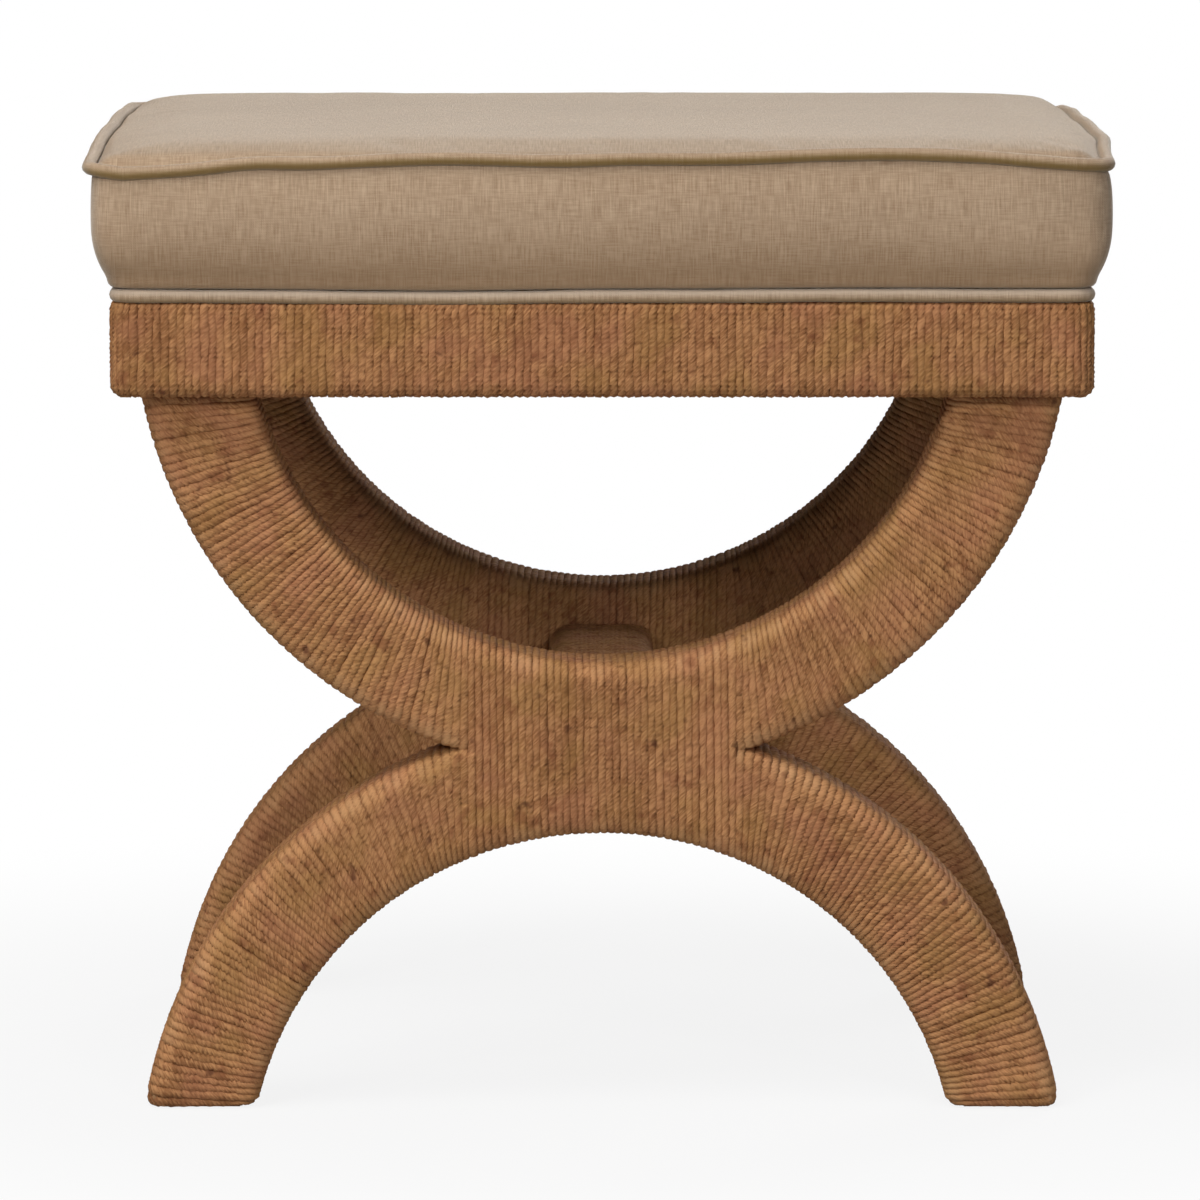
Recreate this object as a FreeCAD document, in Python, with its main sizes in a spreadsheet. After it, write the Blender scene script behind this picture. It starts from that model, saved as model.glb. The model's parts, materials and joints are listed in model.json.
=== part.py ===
import FreeCAD, Part
import math
import os
import Sketcher
from FreeCAD import Placement, Rotation, Vector

# A stool on two X frames of bent wood, wound with twisted cord, with a linen box cushion.
# Millimetres, +Z up, X across the front, the front faces -Y, and the origin is on the floor
# under the middle of the seat. Each X frame is an upper U arc and a lower arch, glued flat
# to each other at the centre.

# Driving sizes: one alias and one plain number for each.
DRIVING_SIZES = [
    # X frames, bare wood
    ("arc_outer_radius", 216.5),
    ("arc_width", 46),
    ("arc_thickness", 44),
    ("joint_flat", 8.5),
    ("lower_centre_drop", 37),
    ("frame_spacing", 319),
    ("arm_rise", 41),
    ("foot_edge_radius", 4),
    ("foot_pad_thickness", 1.5),
    ("foot_pad_inset", 5),
    # Joint of the two arcs
    ("arc_dowel_radius", 5),
    ("arc_dowel_offset", 35),
    ("arc_dowel_cover", 11),
    ("fit_clearance", 0.1),
    # Stretcher between the frames
    ("stretcher_width", 45),
    ("stretcher_height", 35),
    ("stretcher_screw_offset", 10),
    ("stretcher_screw_bite", 46),
    # Screws
    ("screw_radius", 2.5),
    ("screw_head_radius", 4.6),
    ("screw_head_depth", 3),
    # Cord
    ("cord_diameter", 3.4),
    ("cord_groove", 0.9),
    ("cord_pitch", 3.4),
    ("cord_clearance", 0.2),
    ("panel_overlap", 2.7),
    ("foot_roll", 5.1),
    ("apron_roll", 4.5),
    # Seat frame, bare wood
    ("apron_overhang_side", 13.9),
    ("apron_overhang_front", 15.5),
    ("apron_pitch", 3.65),
    ("apron_corner_radius", 7),
    ("rail_height", 39.2),
    ("rail_thickness", 20),
    ("rail_screw_inset", 13.2),
    ("rail_screw_offset", 10),
    ("rail_screw_bite", 40),
    ("block_ledge", 26),
    ("block_margin", 5),
    ("arm_screw_offset", 8),
    ("arm_screw_bite", 28),
    ("deck_thickness", 12),
    ("deck_screw_bite", 8),
    ("dust_cover_thickness", 0.8),
    # Cushion
    ("cushion_overhang", 8),
    ("cushion_corner_radius", 12),
    ("boxing_height", 56),
    ("boxing_top_draw", 1.5),
    ("crown_height", 11.5),
    ("crown_run", 95),
    ("foam_edge_drop", 4.8),
    ("cover_thickness", 1.2),
    ("cover_clearance", 0.2),
    ("welt_radius", 3.2),
    ("welt_stand", 1.5),
]

# Sizes and places that follow from the driving sizes.
DERIVED_SIZES = [
    ("arc_inner_radius", "sizes.arc_outer_radius - sizes.arc_width"),
    ("half_rise", "sizes.arc_outer_radius - sizes.joint_flat"),
    ("joint_height", "half_rise - sizes.lower_centre_drop"),
    ("upper_centre_height", "2 * half_rise - sizes.lower_centre_drop"),
    ("arm_top_height", "upper_centre_height - sizes.arm_rise"),
    ("joint_half_width", "sqrt(sizes.arc_outer_radius ^ 2 - half_rise ^ 2)"),
    ("panel_half_width", "joint_half_width + sizes.panel_overlap"),
    ("foot_rise", "sizes.lower_centre_drop + sizes.foot_pad_thickness"),
    ("arm_inner_x", "sqrt(arc_inner_radius ^ 2 - sizes.arm_rise ^ 2)"),
    ("arm_outer_x", "sqrt(sizes.arc_outer_radius ^ 2 - sizes.arm_rise ^ 2)"),
    ("foot_inner_x", "sqrt(arc_inner_radius ^ 2 - foot_rise ^ 2)"),
    ("foot_outer_x", "sqrt(sizes.arc_outer_radius ^ 2 - foot_rise ^ 2)"),
    ("frame_y", "sizes.frame_spacing / 2"),
    ("frame_inner_y", "frame_y - sizes.arc_thickness / 2"),
    ("frame_outer_y", "frame_y + sizes.arc_thickness / 2"),
    ("dowel_wood", "upper_centre_height - sqrt(arc_inner_radius ^ 2"
                   " - sizes.arc_dowel_offset ^ 2) - joint_height"),
    ("dowel_reach", "dowel_wood - sizes.arc_dowel_cover"),
    ("rail_outer_x", "arm_outer_x + sizes.apron_overhang_side"),
    ("rail_inner_x", "rail_outer_x - sizes.rail_thickness"),
    ("rail_screw_x", "rail_outer_x - sizes.rail_screw_inset"),
    ("rail_outer_y", "frame_outer_y + sizes.apron_overhang_front"),
    ("rail_inner_y", "rail_outer_y - sizes.rail_thickness"),
    ("rail_bottom", "arm_top_height + sizes.cord_diameter"),
    ("rail_middle", "rail_bottom + sizes.rail_height / 2"),
    ("deck_underside", "rail_bottom + sizes.rail_height + sizes.cord_diameter"),
    ("deck_top", "deck_underside + sizes.deck_thickness"),
    ("apron_face_x", "rail_outer_x + sizes.cord_diameter"),
    ("apron_face_y", "rail_outer_y + sizes.cord_diameter"),
    ("deck_half_width", "apron_face_x - 2 * sizes.welt_radius - sizes.cover_clearance"),
    ("deck_half_depth", "apron_face_y - 2 * sizes.welt_radius - sizes.cover_clearance"),
    ("deck_corner_radius", "sizes.cushion_corner_radius - 2 * sizes.welt_radius"),
    ("block_inner_x", "arm_inner_x - sizes.block_ledge"),
    ("block_inner_y", "frame_inner_y - sizes.block_margin"),
    ("block_height", "deck_underside - arm_top_height"),
    ("arm_screw_x", "(arm_inner_x + min(arm_outer_x; rail_inner_x)) / 2"),
    ("arm_screw_y", "(frame_inner_y + min(frame_outer_y; rail_inner_y)) / 2"),
    ("deck_screw_x", "arm_inner_x - sizes.block_ledge / 2"),
    ("deck_screw_y", "(block_inner_y + rail_inner_y) / 2"),
    ("screw_hole_radius", "sizes.screw_radius + sizes.fit_clearance"),
    ("screw_head_hole_radius", "sizes.screw_head_radius + sizes.fit_clearance"),
    ("bulge_half_width", "apron_face_x + sizes.cushion_overhang"),
    ("bulge_half_depth", "apron_face_y + sizes.cushion_overhang"),
    ("boxing_bottom", "deck_underside + 2 * sizes.welt_radius + sizes.cover_clearance"),
    ("boxing_top", "boxing_bottom + sizes.boxing_height"),
    ("top_welt_height", "boxing_top + sizes.cover_clearance + sizes.welt_radius"),
]

FRONT_AND_REAR = [("front", 0), ("rear", 180)]
UPRIGHT = Vector(0, 0, 1)
ALONG_X = Vector(1, 0, 0)
ALONG_Y = Vector(0, 1, 0)
TOUCHING = 1e-6

doc = FreeCAD.newDocument("x_frame_stool")
sheet = doc.addObject("Spreadsheet::Sheet", "sizes")
for row, (alias, number) in enumerate(DRIVING_SIZES, start=1):
    sheet.set("A%d" % row, alias)
    sheet.set("B%d" % row, str(number))
    sheet.setAlias("B%d" % row, alias)
doc.recompute()

places = doc.addObject("App::VarSet", "places")
for name, expression in DERIVED_SIZES:
    places.addProperty("App::PropertyFloat", name)
    places.setExpression(name, expression)
doc.recompute()

pieces = []


def size(alias):
    """A driving size, as a number."""
    return float(sheet.get(alias))


def keep(piece):
    """Mark a document object as one of the stool's own pieces."""
    pieces.append(piece)
    return piece


def origin_plane(body, role):
    """One of a body's own origin planes, by its role."""
    return [plane for plane in body.Origin.OriginFeatures if plane.Role == role][0]


def add_sketch(body, role, name, lift=None):
    """A sketch on one of the body's origin planes, lifted along the plane's normal."""
    sketch = body.newObject("Sketcher::SketchObject", name)
    sketch.AttachmentSupport = [(origin_plane(body, role), "")]
    sketch.MapMode = "FlatFace"
    if lift:
        sketch.setExpression("AttachmentOffset.Base.z", lift)
    return sketch


def bind(sketch, name, expression, *constraint):
    """Add a dimension to a sketch and tie it to an expression on the sheet."""
    sketch.addConstraint(Sketcher.Constraint(*constraint))
    sketch.renameConstraint(sketch.ConstraintCount - 1, name)
    sketch.setExpression("Constraints." + name, expression)


def add_circle(sketch, name, across, along, radius):
    """A circle whose centre and radius follow three expressions."""
    ring = sketch.addGeometry(Part.Circle(Vector(1, 1, 0), UPRIGHT, 1))
    bind(sketch, name + "_across", across, "DistanceX", -1, 1, ring, 3, 1.0)
    bind(sketch, name + "_along", along, "DistanceY", -1, 1, ring, 3, 1.0)
    bind(sketch, name + "_radius", radius, "Radius", ring, 1.0)


def add_pocket(body, sketch, name, depth, both_ways=False, away=False):
    """Cut a sketch into its body, and make sure that the cut took some wood away."""
    doc.recompute()
    before = body.Shape.Volume
    pocket = body.newObject("PartDesign::Pocket", name)
    pocket.Profile = sketch
    pocket.setExpression("Length", depth)
    pocket.SideType = "Symmetric" if both_ways else "One side"
    pocket.Reversed = away
    doc.recompute()
    if body.Shape.Volume >= before:
        raise RuntimeError(name + " cut nothing")
    return pocket


def place(piece, turn, x, y, z):
    """Stand a piece at three expressions, turned about the vertical."""
    piece.Placement = Placement(Vector(), turn)
    for letter, expression in zip("xyz", (x, y, z)):
        piece.setExpression("Placement.Base." + letter, expression)
    return piece


# X frames


def draw_arch(sketch, rise, end):
    """Arch profile about its centre: two level cut ends, and a flat on top for the joint."""
    inner = places.arc_inner_radius
    outer = size("arc_outer_radius")
    inner_end = math.asin(end / inner)
    outer_end = math.asin(end / outer)
    flat_end = math.asin(places.half_rise / outer)
    centre = Vector(0, 0, 0)

    def arc(radius, start, stop):
        return Part.ArcOfCircle(Part.Circle(centre, UPRIGHT, radius), start, stop)

    def point(radius, angle):
        return Vector(radius * math.cos(angle), radius * math.sin(angle), 0)

    sketch.addGeometry([
        arc(inner, inner_end, math.pi - inner_end),
        arc(outer, outer_end, flat_end),
        arc(outer, math.pi - flat_end, math.pi - outer_end),
        Part.LineSegment(point(outer, flat_end), point(outer, math.pi - flat_end)),
        Part.LineSegment(point(inner, inner_end), point(outer, outer_end)),
        Part.LineSegment(point(outer, math.pi - outer_end), point(inner, math.pi - inner_end)),
    ])
    hollow, right, left, flat, right_end, left_end = range(6)
    corners = [(hollow, 1, right_end, 1), (right_end, 2, right, 1), (right, 2, flat, 1),
               (flat, 2, left, 1), (left, 2, left_end, 1), (left_end, 2, hollow, 2)]
    for first, first_end, second, second_end in corners:
        sketch.addConstraint(Sketcher.Constraint("Coincident", first, first_end, second, second_end))
    for curve in (hollow, right, left):
        sketch.addConstraint(Sketcher.Constraint("Coincident", curve, 3, -1, 1))
    for line in (flat, right_end, left_end):
        sketch.addConstraint(Sketcher.Constraint("Horizontal", line))
    sketch.addConstraint(Sketcher.Constraint("Equal", right, left))
    bind(sketch, "hollow_radius", "places.arc_inner_radius", "Radius", hollow, inner)
    bind(sketch, "outer_radius", "sizes.arc_outer_radius", "Radius", right, outer)
    bind(sketch, "flat_rise", "places.half_rise", "DistanceY", -1, 1, flat, 1, places.half_rise)
    bind(sketch, "right_rise", rise, "DistanceY", -1, 1, right_end, 1, end)
    bind(sketch, "left_rise", rise, "DistanceY", -1, 1, left_end, 1, end)


def round_feet(body, pad):
    """Round the edges of an arch's two cut ends."""
    doc.recompute()
    ends = []
    for index, edge in enumerate(pad.Shape.Edges, start=1):
        box = edge.BoundBox
        if max(abs(box.ZMin - places.foot_rise), abs(box.ZMax - places.foot_rise)) < TOUCHING:
            ends.append("Edge%d" % index)
    fillet = body.newObject("PartDesign::Fillet", body.Name + "_foot_edges")
    fillet.Base = (pad, ends)
    fillet.setExpression("Radius", "sizes.foot_edge_radius")


def add_arc(label, rise, end, feet):
    """Wooden arc about its own centre, drilled for its dowels and for its stretcher screw."""
    body = doc.addObject("PartDesign::Body", label)
    profile = add_sketch(body, "XZ_Plane", label + "_profile")
    draw_arch(profile, rise, end)
    pad = body.newObject("PartDesign::Pad", label + "_pad")
    pad.Profile = profile
    pad.SideType = "Symmetric"
    pad.setExpression("Length", "sizes.arc_thickness")
    if feet:
        round_feet(body, pad)

    dowels = add_sketch(body, "XY_Plane", label + "_dowel_plan", "places.half_rise")
    for side, sign in (("left", "-"), ("right", "")):
        add_circle(dowels, side, sign + "sizes.arc_dowel_offset", "0",
                   "sizes.arc_dowel_radius + sizes.fit_clearance")
    add_pocket(body, dowels, label + "_dowel_holes", "places.dowel_reach + sizes.fit_clearance")

    screw_height = "places.half_rise - sizes.stretcher_screw_offset"
    shank = add_sketch(body, "XZ_Plane", label + "_shank_plan")
    add_circle(shank, "shank", "0", screw_height, "places.screw_hole_radius")
    add_pocket(body, shank, label + "_shank_hole", "2 * sizes.arc_thickness", both_ways=True)
    head = add_sketch(body, "XZ_Plane", label + "_head_plan", "sizes.arc_thickness / 2")
    add_circle(head, "head", "0", screw_height, "places.screw_head_hole_radius")
    add_pocket(body, head, label + "_head_hole", "sizes.screw_head_depth + sizes.fit_clearance")
    return body


def add_lower_arc(label, turn):
    """Arch on the floor side of an X frame, with rounded feet."""
    body = add_arc(label, "places.foot_rise", places.foot_rise, feet=True)
    y = "places.frame_y" if turn else "-places.frame_y"
    return place(body, Rotation(UPRIGHT, turn), "0", y, "-sizes.lower_centre_drop")


def add_upper_arc(label, turn):
    """U arc under the seat, an arch turned over, drilled for the screws in its arm tops."""
    body = add_arc(label, "sizes.arm_rise", size("arm_rise"), feet=False)
    plan = add_sketch(body, "XY_Plane", label + "_arm_screw_plan", "sizes.arm_rise")
    for column, across in (("left", "-places.arm_screw_x"), ("right", "places.arm_screw_x")):
        for depth, sign in (("near", "-"), ("far", "+")):
            along = "places.frame_y - places.arm_screw_y %s sizes.arm_screw_offset" % sign
            add_circle(plan, column + "_" + depth, across, along, "places.screw_hole_radius")
    add_pocket(body, plan, label + "_arm_screw_holes",
               "sizes.arm_screw_bite + sizes.fit_clearance", away=True)
    y = "places.frame_y" if turn else "-places.frame_y"
    upside_down = Rotation(UPRIGHT, turn).multiply(Rotation(ALONG_Y, 180))
    return place(body, upside_down, "0", y, "places.upper_centre_height")


def add_cylinder(name, axis, radius, length, x, y, z):
    """A round bar or drill from one point along an axis."""
    bar = doc.addObject("Part::Cylinder", name)
    bar.setExpression("Radius", radius)
    bar.setExpression("Height", length)
    return place(bar, Rotation(UPRIGHT, axis), x, y, z)


def add_box(name, x_range, y_range, z_range):
    """A box between three pairs of expressions."""
    box = doc.addObject("Part::Box", name)
    for letter, dimension, (low, high) in zip("xyz", ("Length", "Width", "Height"),
                                              (x_range, y_range, z_range)):
        box.setExpression(dimension, "(%s) - (%s)" % (high, low))
        box.setExpression("Placement.Base." + letter, low)
    return box


def add_drilled(label, blank, drills):
    """A blank with round holes cut from it."""
    holes = doc.addObject("Part::MultiFuse", label + "_holes")
    holes.Shapes = drills
    drilled = doc.addObject("Part::Cut", label)
    drilled.Base = blank
    drilled.Tool = holes
    return drilled


def add_arc_dowels(label, y):
    """The two dowels that pin an upper arc to its lower arc."""
    bars = []
    for side, x in (("left", "-sizes.arc_dowel_offset"), ("right", "sizes.arc_dowel_offset")):
        bars.append(add_cylinder(label + "_" + side, UPRIGHT, "sizes.arc_dowel_radius",
                                 "2 * places.dowel_reach", x, y,
                                 "places.joint_height - places.dowel_reach"))
    group = doc.addObject("Part::Compound", label)
    group.Links = bars
    return group


def add_foot_pad(label, side, depth):
    """Thin felt pad glued under one foot, inside the rounded edge of the wood."""
    inset = "sizes.foot_pad_inset"
    inner = "places.foot_inner_x + " + inset
    outer = "places.foot_outer_x - " + inset
    x_range = (inner, outer) if side == "right" else ("-(%s)" % outer, "-(%s)" % inner)
    inner = "places.frame_inner_y + " + inset
    outer = "places.frame_outer_y - " + inset
    y_range = (inner, outer) if depth == "rear" else ("-(%s)" % outer, "-(%s)" % inner)
    return add_box(label, x_range, y_range, ("0", "sizes.foot_pad_thickness"))


for end_name, turn in FRONT_AND_REAR:
    keep(add_upper_arc(end_name + "_upper_arc", turn))
    keep(add_lower_arc(end_name + "_lower_arc", turn))
    keep(add_arc_dowels(end_name + "_arc_dowels", "places.frame_y" if turn else "-places.frame_y"))
    for side_name in ("left", "right"):
        keep(add_foot_pad("%s_%s_foot_pad" % (end_name, side_name), side_name, end_name))
doc.recompute()


# Stretcher


def add_stretcher():
    """Bar between the X frames, drilled at both ends for its two screws."""
    blank = add_box("stretcher_blank",
                    ("-sizes.stretcher_width / 2", "sizes.stretcher_width / 2"),
                    ("-places.frame_inner_y", "places.frame_inner_y"),
                    ("places.joint_height - sizes.stretcher_height / 2",
                     "places.joint_height + sizes.stretcher_height / 2"))
    drills = []
    bite = "sizes.stretcher_screw_bite + sizes.fit_clearance"
    for level, sign in (("low", "-"), ("high", "+")):
        z = "places.joint_height %s sizes.stretcher_screw_offset" % sign
        drills.append(add_cylinder("stretcher_front_drill_" + level, ALONG_Y,
                                   "places.screw_hole_radius", bite,
                                   "0", "-places.frame_inner_y", z))
        drills.append(add_cylinder("stretcher_rear_drill_" + level, -ALONG_Y,
                                   "places.screw_hole_radius", bite,
                                   "0", "places.frame_inner_y", z))
    return add_drilled("stretcher", blank, drills)


keep(add_stretcher())


# Seat frame


def add_board(label, half_width, low, high, height, corner_radius, rounded):
    """A board with some of its upright corners rounded: half its width, and its two depths."""
    body = doc.addObject("PartDesign::Body", label)
    plan = add_sketch(body, "XY_Plane", label + "_plan")
    corners = [Vector(-1, 0, 0), Vector(1, 0, 0), Vector(1, 1, 0), Vector(-1, 1, 0)]
    for first, second in zip(corners, corners[1:] + corners[:1]):
        plan.addGeometry(Part.LineSegment(first, second))
    for line in range(4):
        plan.addConstraint(Sketcher.Constraint("Coincident", line, 2, (line + 1) % 4, 1))
        plan.addConstraint(Sketcher.Constraint("Vertical" if line % 2 else "Horizontal", line))
    bind(plan, "left_edge", "-" + half_width, "DistanceX", -1, 1, 0, 1, -1.0)
    bind(plan, "right_edge", half_width, "DistanceX", -1, 1, 0, 2, 1.0)
    bind(plan, "front_edge", low, "DistanceY", -1, 1, 0, 1, 0.0)
    bind(plan, "rear_edge", high, "DistanceY", -1, 1, 2, 1, 1.0)
    pad = body.newObject("PartDesign::Pad", label + "_pad")
    pad.Profile = plan
    pad.setExpression("Length", height)
    doc.recompute()
    edges = []
    for index, edge in enumerate(pad.Shape.Edges, start=1):
        middle = edge.CenterOfMass
        if edge.BoundBox.ZLength > pad.Length.Value / 2 and rounded(middle):
            edges.append("Edge%d" % index)
    fillet = body.newObject("PartDesign::Fillet", label + "_corners")
    fillet.Base = (pad, edges)
    fillet.setExpression("Radius", corner_radius)
    return body


def add_long_rail(label, turn):
    """Front or rear rail over the full width, with rounded outer corners, drilled at both ends."""
    body = add_board(label, "places.rail_outer_x", "0", "sizes.rail_thickness", "sizes.rail_height",
                     "sizes.apron_corner_radius", lambda middle: middle.y < TOUCHING)
    shank = add_sketch(body, "XZ_Plane", label + "_shank_plan")
    head = add_sketch(body, "XZ_Plane", label + "_head_plan")
    for column, across in (("left", "-places.rail_screw_x"), ("right", "places.rail_screw_x")):
        for level, sign in (("low", "-"), ("high", "+")):
            height = "sizes.rail_height / 2 %s sizes.rail_screw_offset" % sign
            add_circle(shank, column + "_" + level, across, height, "places.screw_hole_radius")
            add_circle(head, column + "_" + level, across, height, "places.screw_head_hole_radius")
    add_pocket(body, shank, label + "_shank_holes", "2 * sizes.rail_thickness")
    add_pocket(body, head, label + "_head_holes", "sizes.screw_head_depth + sizes.fit_clearance")
    y = "places.rail_outer_y" if turn else "-places.rail_outer_y"
    return place(body, Rotation(UPRIGHT, turn), "0", y, "places.rail_bottom")


def add_side_rail(label, side):
    """Side rail between the front and rear rails, drilled at both ends."""
    sign = "-" if side == "left" else ""
    x_range = ("places.rail_inner_x", "places.rail_outer_x")
    if side == "left":
        x_range = ("-places.rail_outer_x", "-places.rail_inner_x")
    blank = add_box(label + "_blank", x_range, ("-places.rail_inner_y", "places.rail_inner_y"),
                    ("places.rail_bottom", "places.rail_bottom + sizes.rail_height"))
    drills = []
    bite = "sizes.rail_screw_bite + sizes.fit_clearance"
    for level, step in (("low", "-"), ("high", "+")):
        z = "places.rail_middle %s sizes.rail_screw_offset" % step
        x = sign + "places.rail_screw_x"
        drills.append(add_cylinder("%s_front_drill_%s" % (label, level), ALONG_Y,
                                   "places.screw_hole_radius", bite, x, "-places.rail_inner_y", z))
        drills.append(add_cylinder("%s_rear_drill_%s" % (label, level), -ALONG_Y,
                                   "places.screw_hole_radius", bite, x, "places.rail_inner_y", z))
    return add_drilled(label, blank, drills)


def add_corner_block(label, x_sign, y_sign):
    """Block in a corner of the rails, over an arm top, drilled for its three screws."""
    x_range = ("places.block_inner_x", "places.rail_inner_x")
    if x_sign == "-":
        x_range = ("-places.rail_inner_x", "-places.block_inner_x")
    y_range = ("places.block_inner_y", "places.rail_inner_y")
    if y_sign == "-":
        y_range = ("-places.rail_inner_y", "-places.block_inner_y")
    blank = add_box(label + "_blank", x_range, y_range,
                    ("places.arm_top_height", "places.deck_underside"))
    head_depth = "sizes.screw_head_depth + sizes.fit_clearance"
    drills = []
    for depth, step in (("near", "-"), ("far", "+")):
        x = x_sign + "places.arm_screw_x"
        y = "%s(places.arm_screw_y %s sizes.arm_screw_offset)" % (y_sign, step)
        drills.append(add_cylinder("%s_arm_shank_%s" % (label, depth), UPRIGHT,
                                   "places.screw_hole_radius", "places.block_height",
                                   x, y, "places.arm_top_height"))
        drills.append(add_cylinder("%s_arm_head_%s" % (label, depth), -UPRIGHT,
                                   "places.screw_head_hole_radius", head_depth,
                                   x, y, "places.deck_underside"))
    x = x_sign + "places.deck_screw_x"
    y = y_sign + "places.deck_screw_y"
    drills.append(add_cylinder(label + "_deck_shank", UPRIGHT, "places.screw_hole_radius",
                               "places.block_height", x, y, "places.arm_top_height"))
    drills.append(add_cylinder(label + "_deck_head", UPRIGHT, "places.screw_head_hole_radius",
                               head_depth, x, y, "places.arm_top_height"))
    return add_drilled(label, blank, drills)


CORNERS = [("front_left", "-", "-"), ("front_right", "", "-"),
           ("rear_left", "-", ""), ("rear_right", "", "")]


def add_deck():
    """Plywood deck on the rails, drilled from below for its four screws."""
    body = add_board("seat_deck", "places.deck_half_width", "-places.deck_half_depth",
                     "places.deck_half_depth", "sizes.deck_thickness",
                     "places.deck_corner_radius", lambda middle: True)
    plan = add_sketch(body, "XY_Plane", "seat_deck_screw_plan")
    for corner, x_sign, y_sign in CORNERS:
        add_circle(plan, corner, x_sign + "places.deck_screw_x", y_sign + "places.deck_screw_y",
                   "places.screw_hole_radius")
    add_pocket(body, plan, "seat_deck_screw_holes", "sizes.deck_screw_bite + sizes.fit_clearance",
               away=True)
    return place(body, Rotation(), "0", "0", "places.deck_underside")


def add_dust_cover():
    """Thin cloth under the deck, cut away at the four corner blocks."""
    gap = "sizes.cover_clearance"
    low = "places.deck_underside - sizes.dust_cover_thickness"
    levels = (low, "places.deck_underside")
    long_strip = add_box("dust_cover_long",
                         ("-places.rail_inner_x + " + gap, "places.rail_inner_x - " + gap),
                         ("-places.block_inner_y + " + gap, "places.block_inner_y - " + gap),
                         levels)
    cross_strip = add_box("dust_cover_cross",
                          ("-places.block_inner_x + " + gap, "places.block_inner_x - " + gap),
                          ("-places.rail_inner_y + " + gap, "places.rail_inner_y - " + gap),
                          levels)
    cover = doc.addObject("Part::MultiFuse", "dust_cover")
    cover.Shapes = [long_strip, cross_strip]
    cover.Refine = True
    return cover


for end_name, turn in FRONT_AND_REAR:
    keep(add_long_rail(end_name + "_rail", turn))
for side_name in ("left", "right"):
    keep(add_side_rail(side_name + "_rail", side_name))
for corner, x_sign, y_sign in CORNERS:
    keep(add_corner_block(corner + "_corner_block", x_sign, y_sign))
keep(add_deck())
keep(add_dust_cover())
doc.recompute()


# Screws


def add_shape(label, shape, turn=0, offset=None):
    """A piece that no primitive gives, placed after its shape is set."""
    piece = doc.addObject("Part::Feature", label)
    piece.Shape = shape
    piece.Placement = Placement(offset or Vector(), Rotation(UPRIGHT, turn))
    return piece


def screw(head_face, axis, length):
    """A screw from the face of its head along an axis: a round head and a plain shank."""
    head = Part.makeCylinder(size("screw_head_radius"), size("screw_head_depth"), head_face, axis)
    shank = Part.makeCylinder(size("screw_radius"), length, head_face, axis)
    return head.fuse(shank).removeSplitter()


def stretcher_screws():
    """Two screws through each X frame into the stretcher's end, one through each arc."""
    length = size("arc_thickness") + size("stretcher_screw_bite")
    screws = []
    for inward in (1, -1):
        for level in (-1, 1):
            height = places.joint_height + level * size("stretcher_screw_offset")
            head_face = Vector(0, -inward * places.frame_outer_y, height)
            screws.append(screw(head_face, ALONG_Y * inward, length))
    return Part.makeCompound(screws)


def rail_screws():
    """Two screws through each end of the front and rear rails into the side rails."""
    length = size("rail_thickness") + size("rail_screw_bite")
    screws = []
    for inward in (1, -1):
        for side in (-1, 1):
            for level in (-1, 1):
                head_face = Vector(side * places.rail_screw_x, -inward * places.rail_outer_y,
                                   places.rail_middle + level * size("rail_screw_offset"))
                screws.append(screw(head_face, ALONG_Y * inward, length))
    return Part.makeCompound(screws)


def arm_screws():
    """Two screws down through each corner block into an arm top."""
    length = places.block_height + size("arm_screw_bite")
    screws = []
    for side in (-1, 1):
        for depth in (-1, 1):
            for step in (-1, 1):
                y = depth * (places.arm_screw_y + step * size("arm_screw_offset"))
                head_face = Vector(side * places.arm_screw_x, y, places.deck_underside)
                screws.append(screw(head_face, -UPRIGHT, length))
    return Part.makeCompound(screws)


def deck_screws():
    """One screw up through each corner block into the deck."""
    length = places.block_height + size("deck_screw_bite")
    screws = []
    for side in (-1, 1):
        for depth in (-1, 1):
            head_face = Vector(side * places.deck_screw_x, depth * places.deck_screw_y,
                               places.arm_top_height)
            screws.append(screw(head_face, UPRIGHT, length))
    return Part.makeCompound(screws)


keep(add_shape("stretcher_screws", stretcher_screws()))
keep(add_shape("rail_screws", rail_screws()))
keep(add_shape("arm_screws", arm_screws()))
keep(add_shape("deck_screws", deck_screws()))


# Cord windings. Each is a sleeve whose ribs are its turns, at their true pitch: a ruled loft
# through the crest of each turn and the valley between it and the next.


def ribbed_sleeve(sections):
    """A solid through sections of corner points, ruled from each one to the next."""
    return Part.makeLoft([Part.makePolygon(ring + ring[:1]) for ring in sections], True, True)


def faceted_sleeve(sections):
    """A solid of flat triangles through sections that fan out, so their sides would be twisted."""
    faces = [Part.Face(Part.makePolygon(ring + ring[:1])) for ring in (sections[0], sections[-1])]
    for ring, after in zip(sections, sections[1:]):
        for index, corner in enumerate(ring):
            beyond = (index + 1) % len(ring)
            for triangle in ((corner, ring[beyond], after[beyond]), (corner, after[beyond], after[index])):
                faces.append(Part.Face(Part.makePolygon([*triangle, corner])))
    solid = Part.Solid(Part.Shell(faces))
    return solid if solid.Volume > 0 else solid.reversed()


def half_steps(length, pitch):
    """Steps from valley to crest along a winding, two for each turn."""
    return 2 * max(1, round(length / pitch))


def groove_at(step):
    """How far a section lies inside the crests: even steps are the valleys."""
    return 0 if step % 2 else size("cord_groove")


# How soon the turns leave the slant of either end of an arm and lie along its radius.
FAN_POWER = 4


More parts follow.
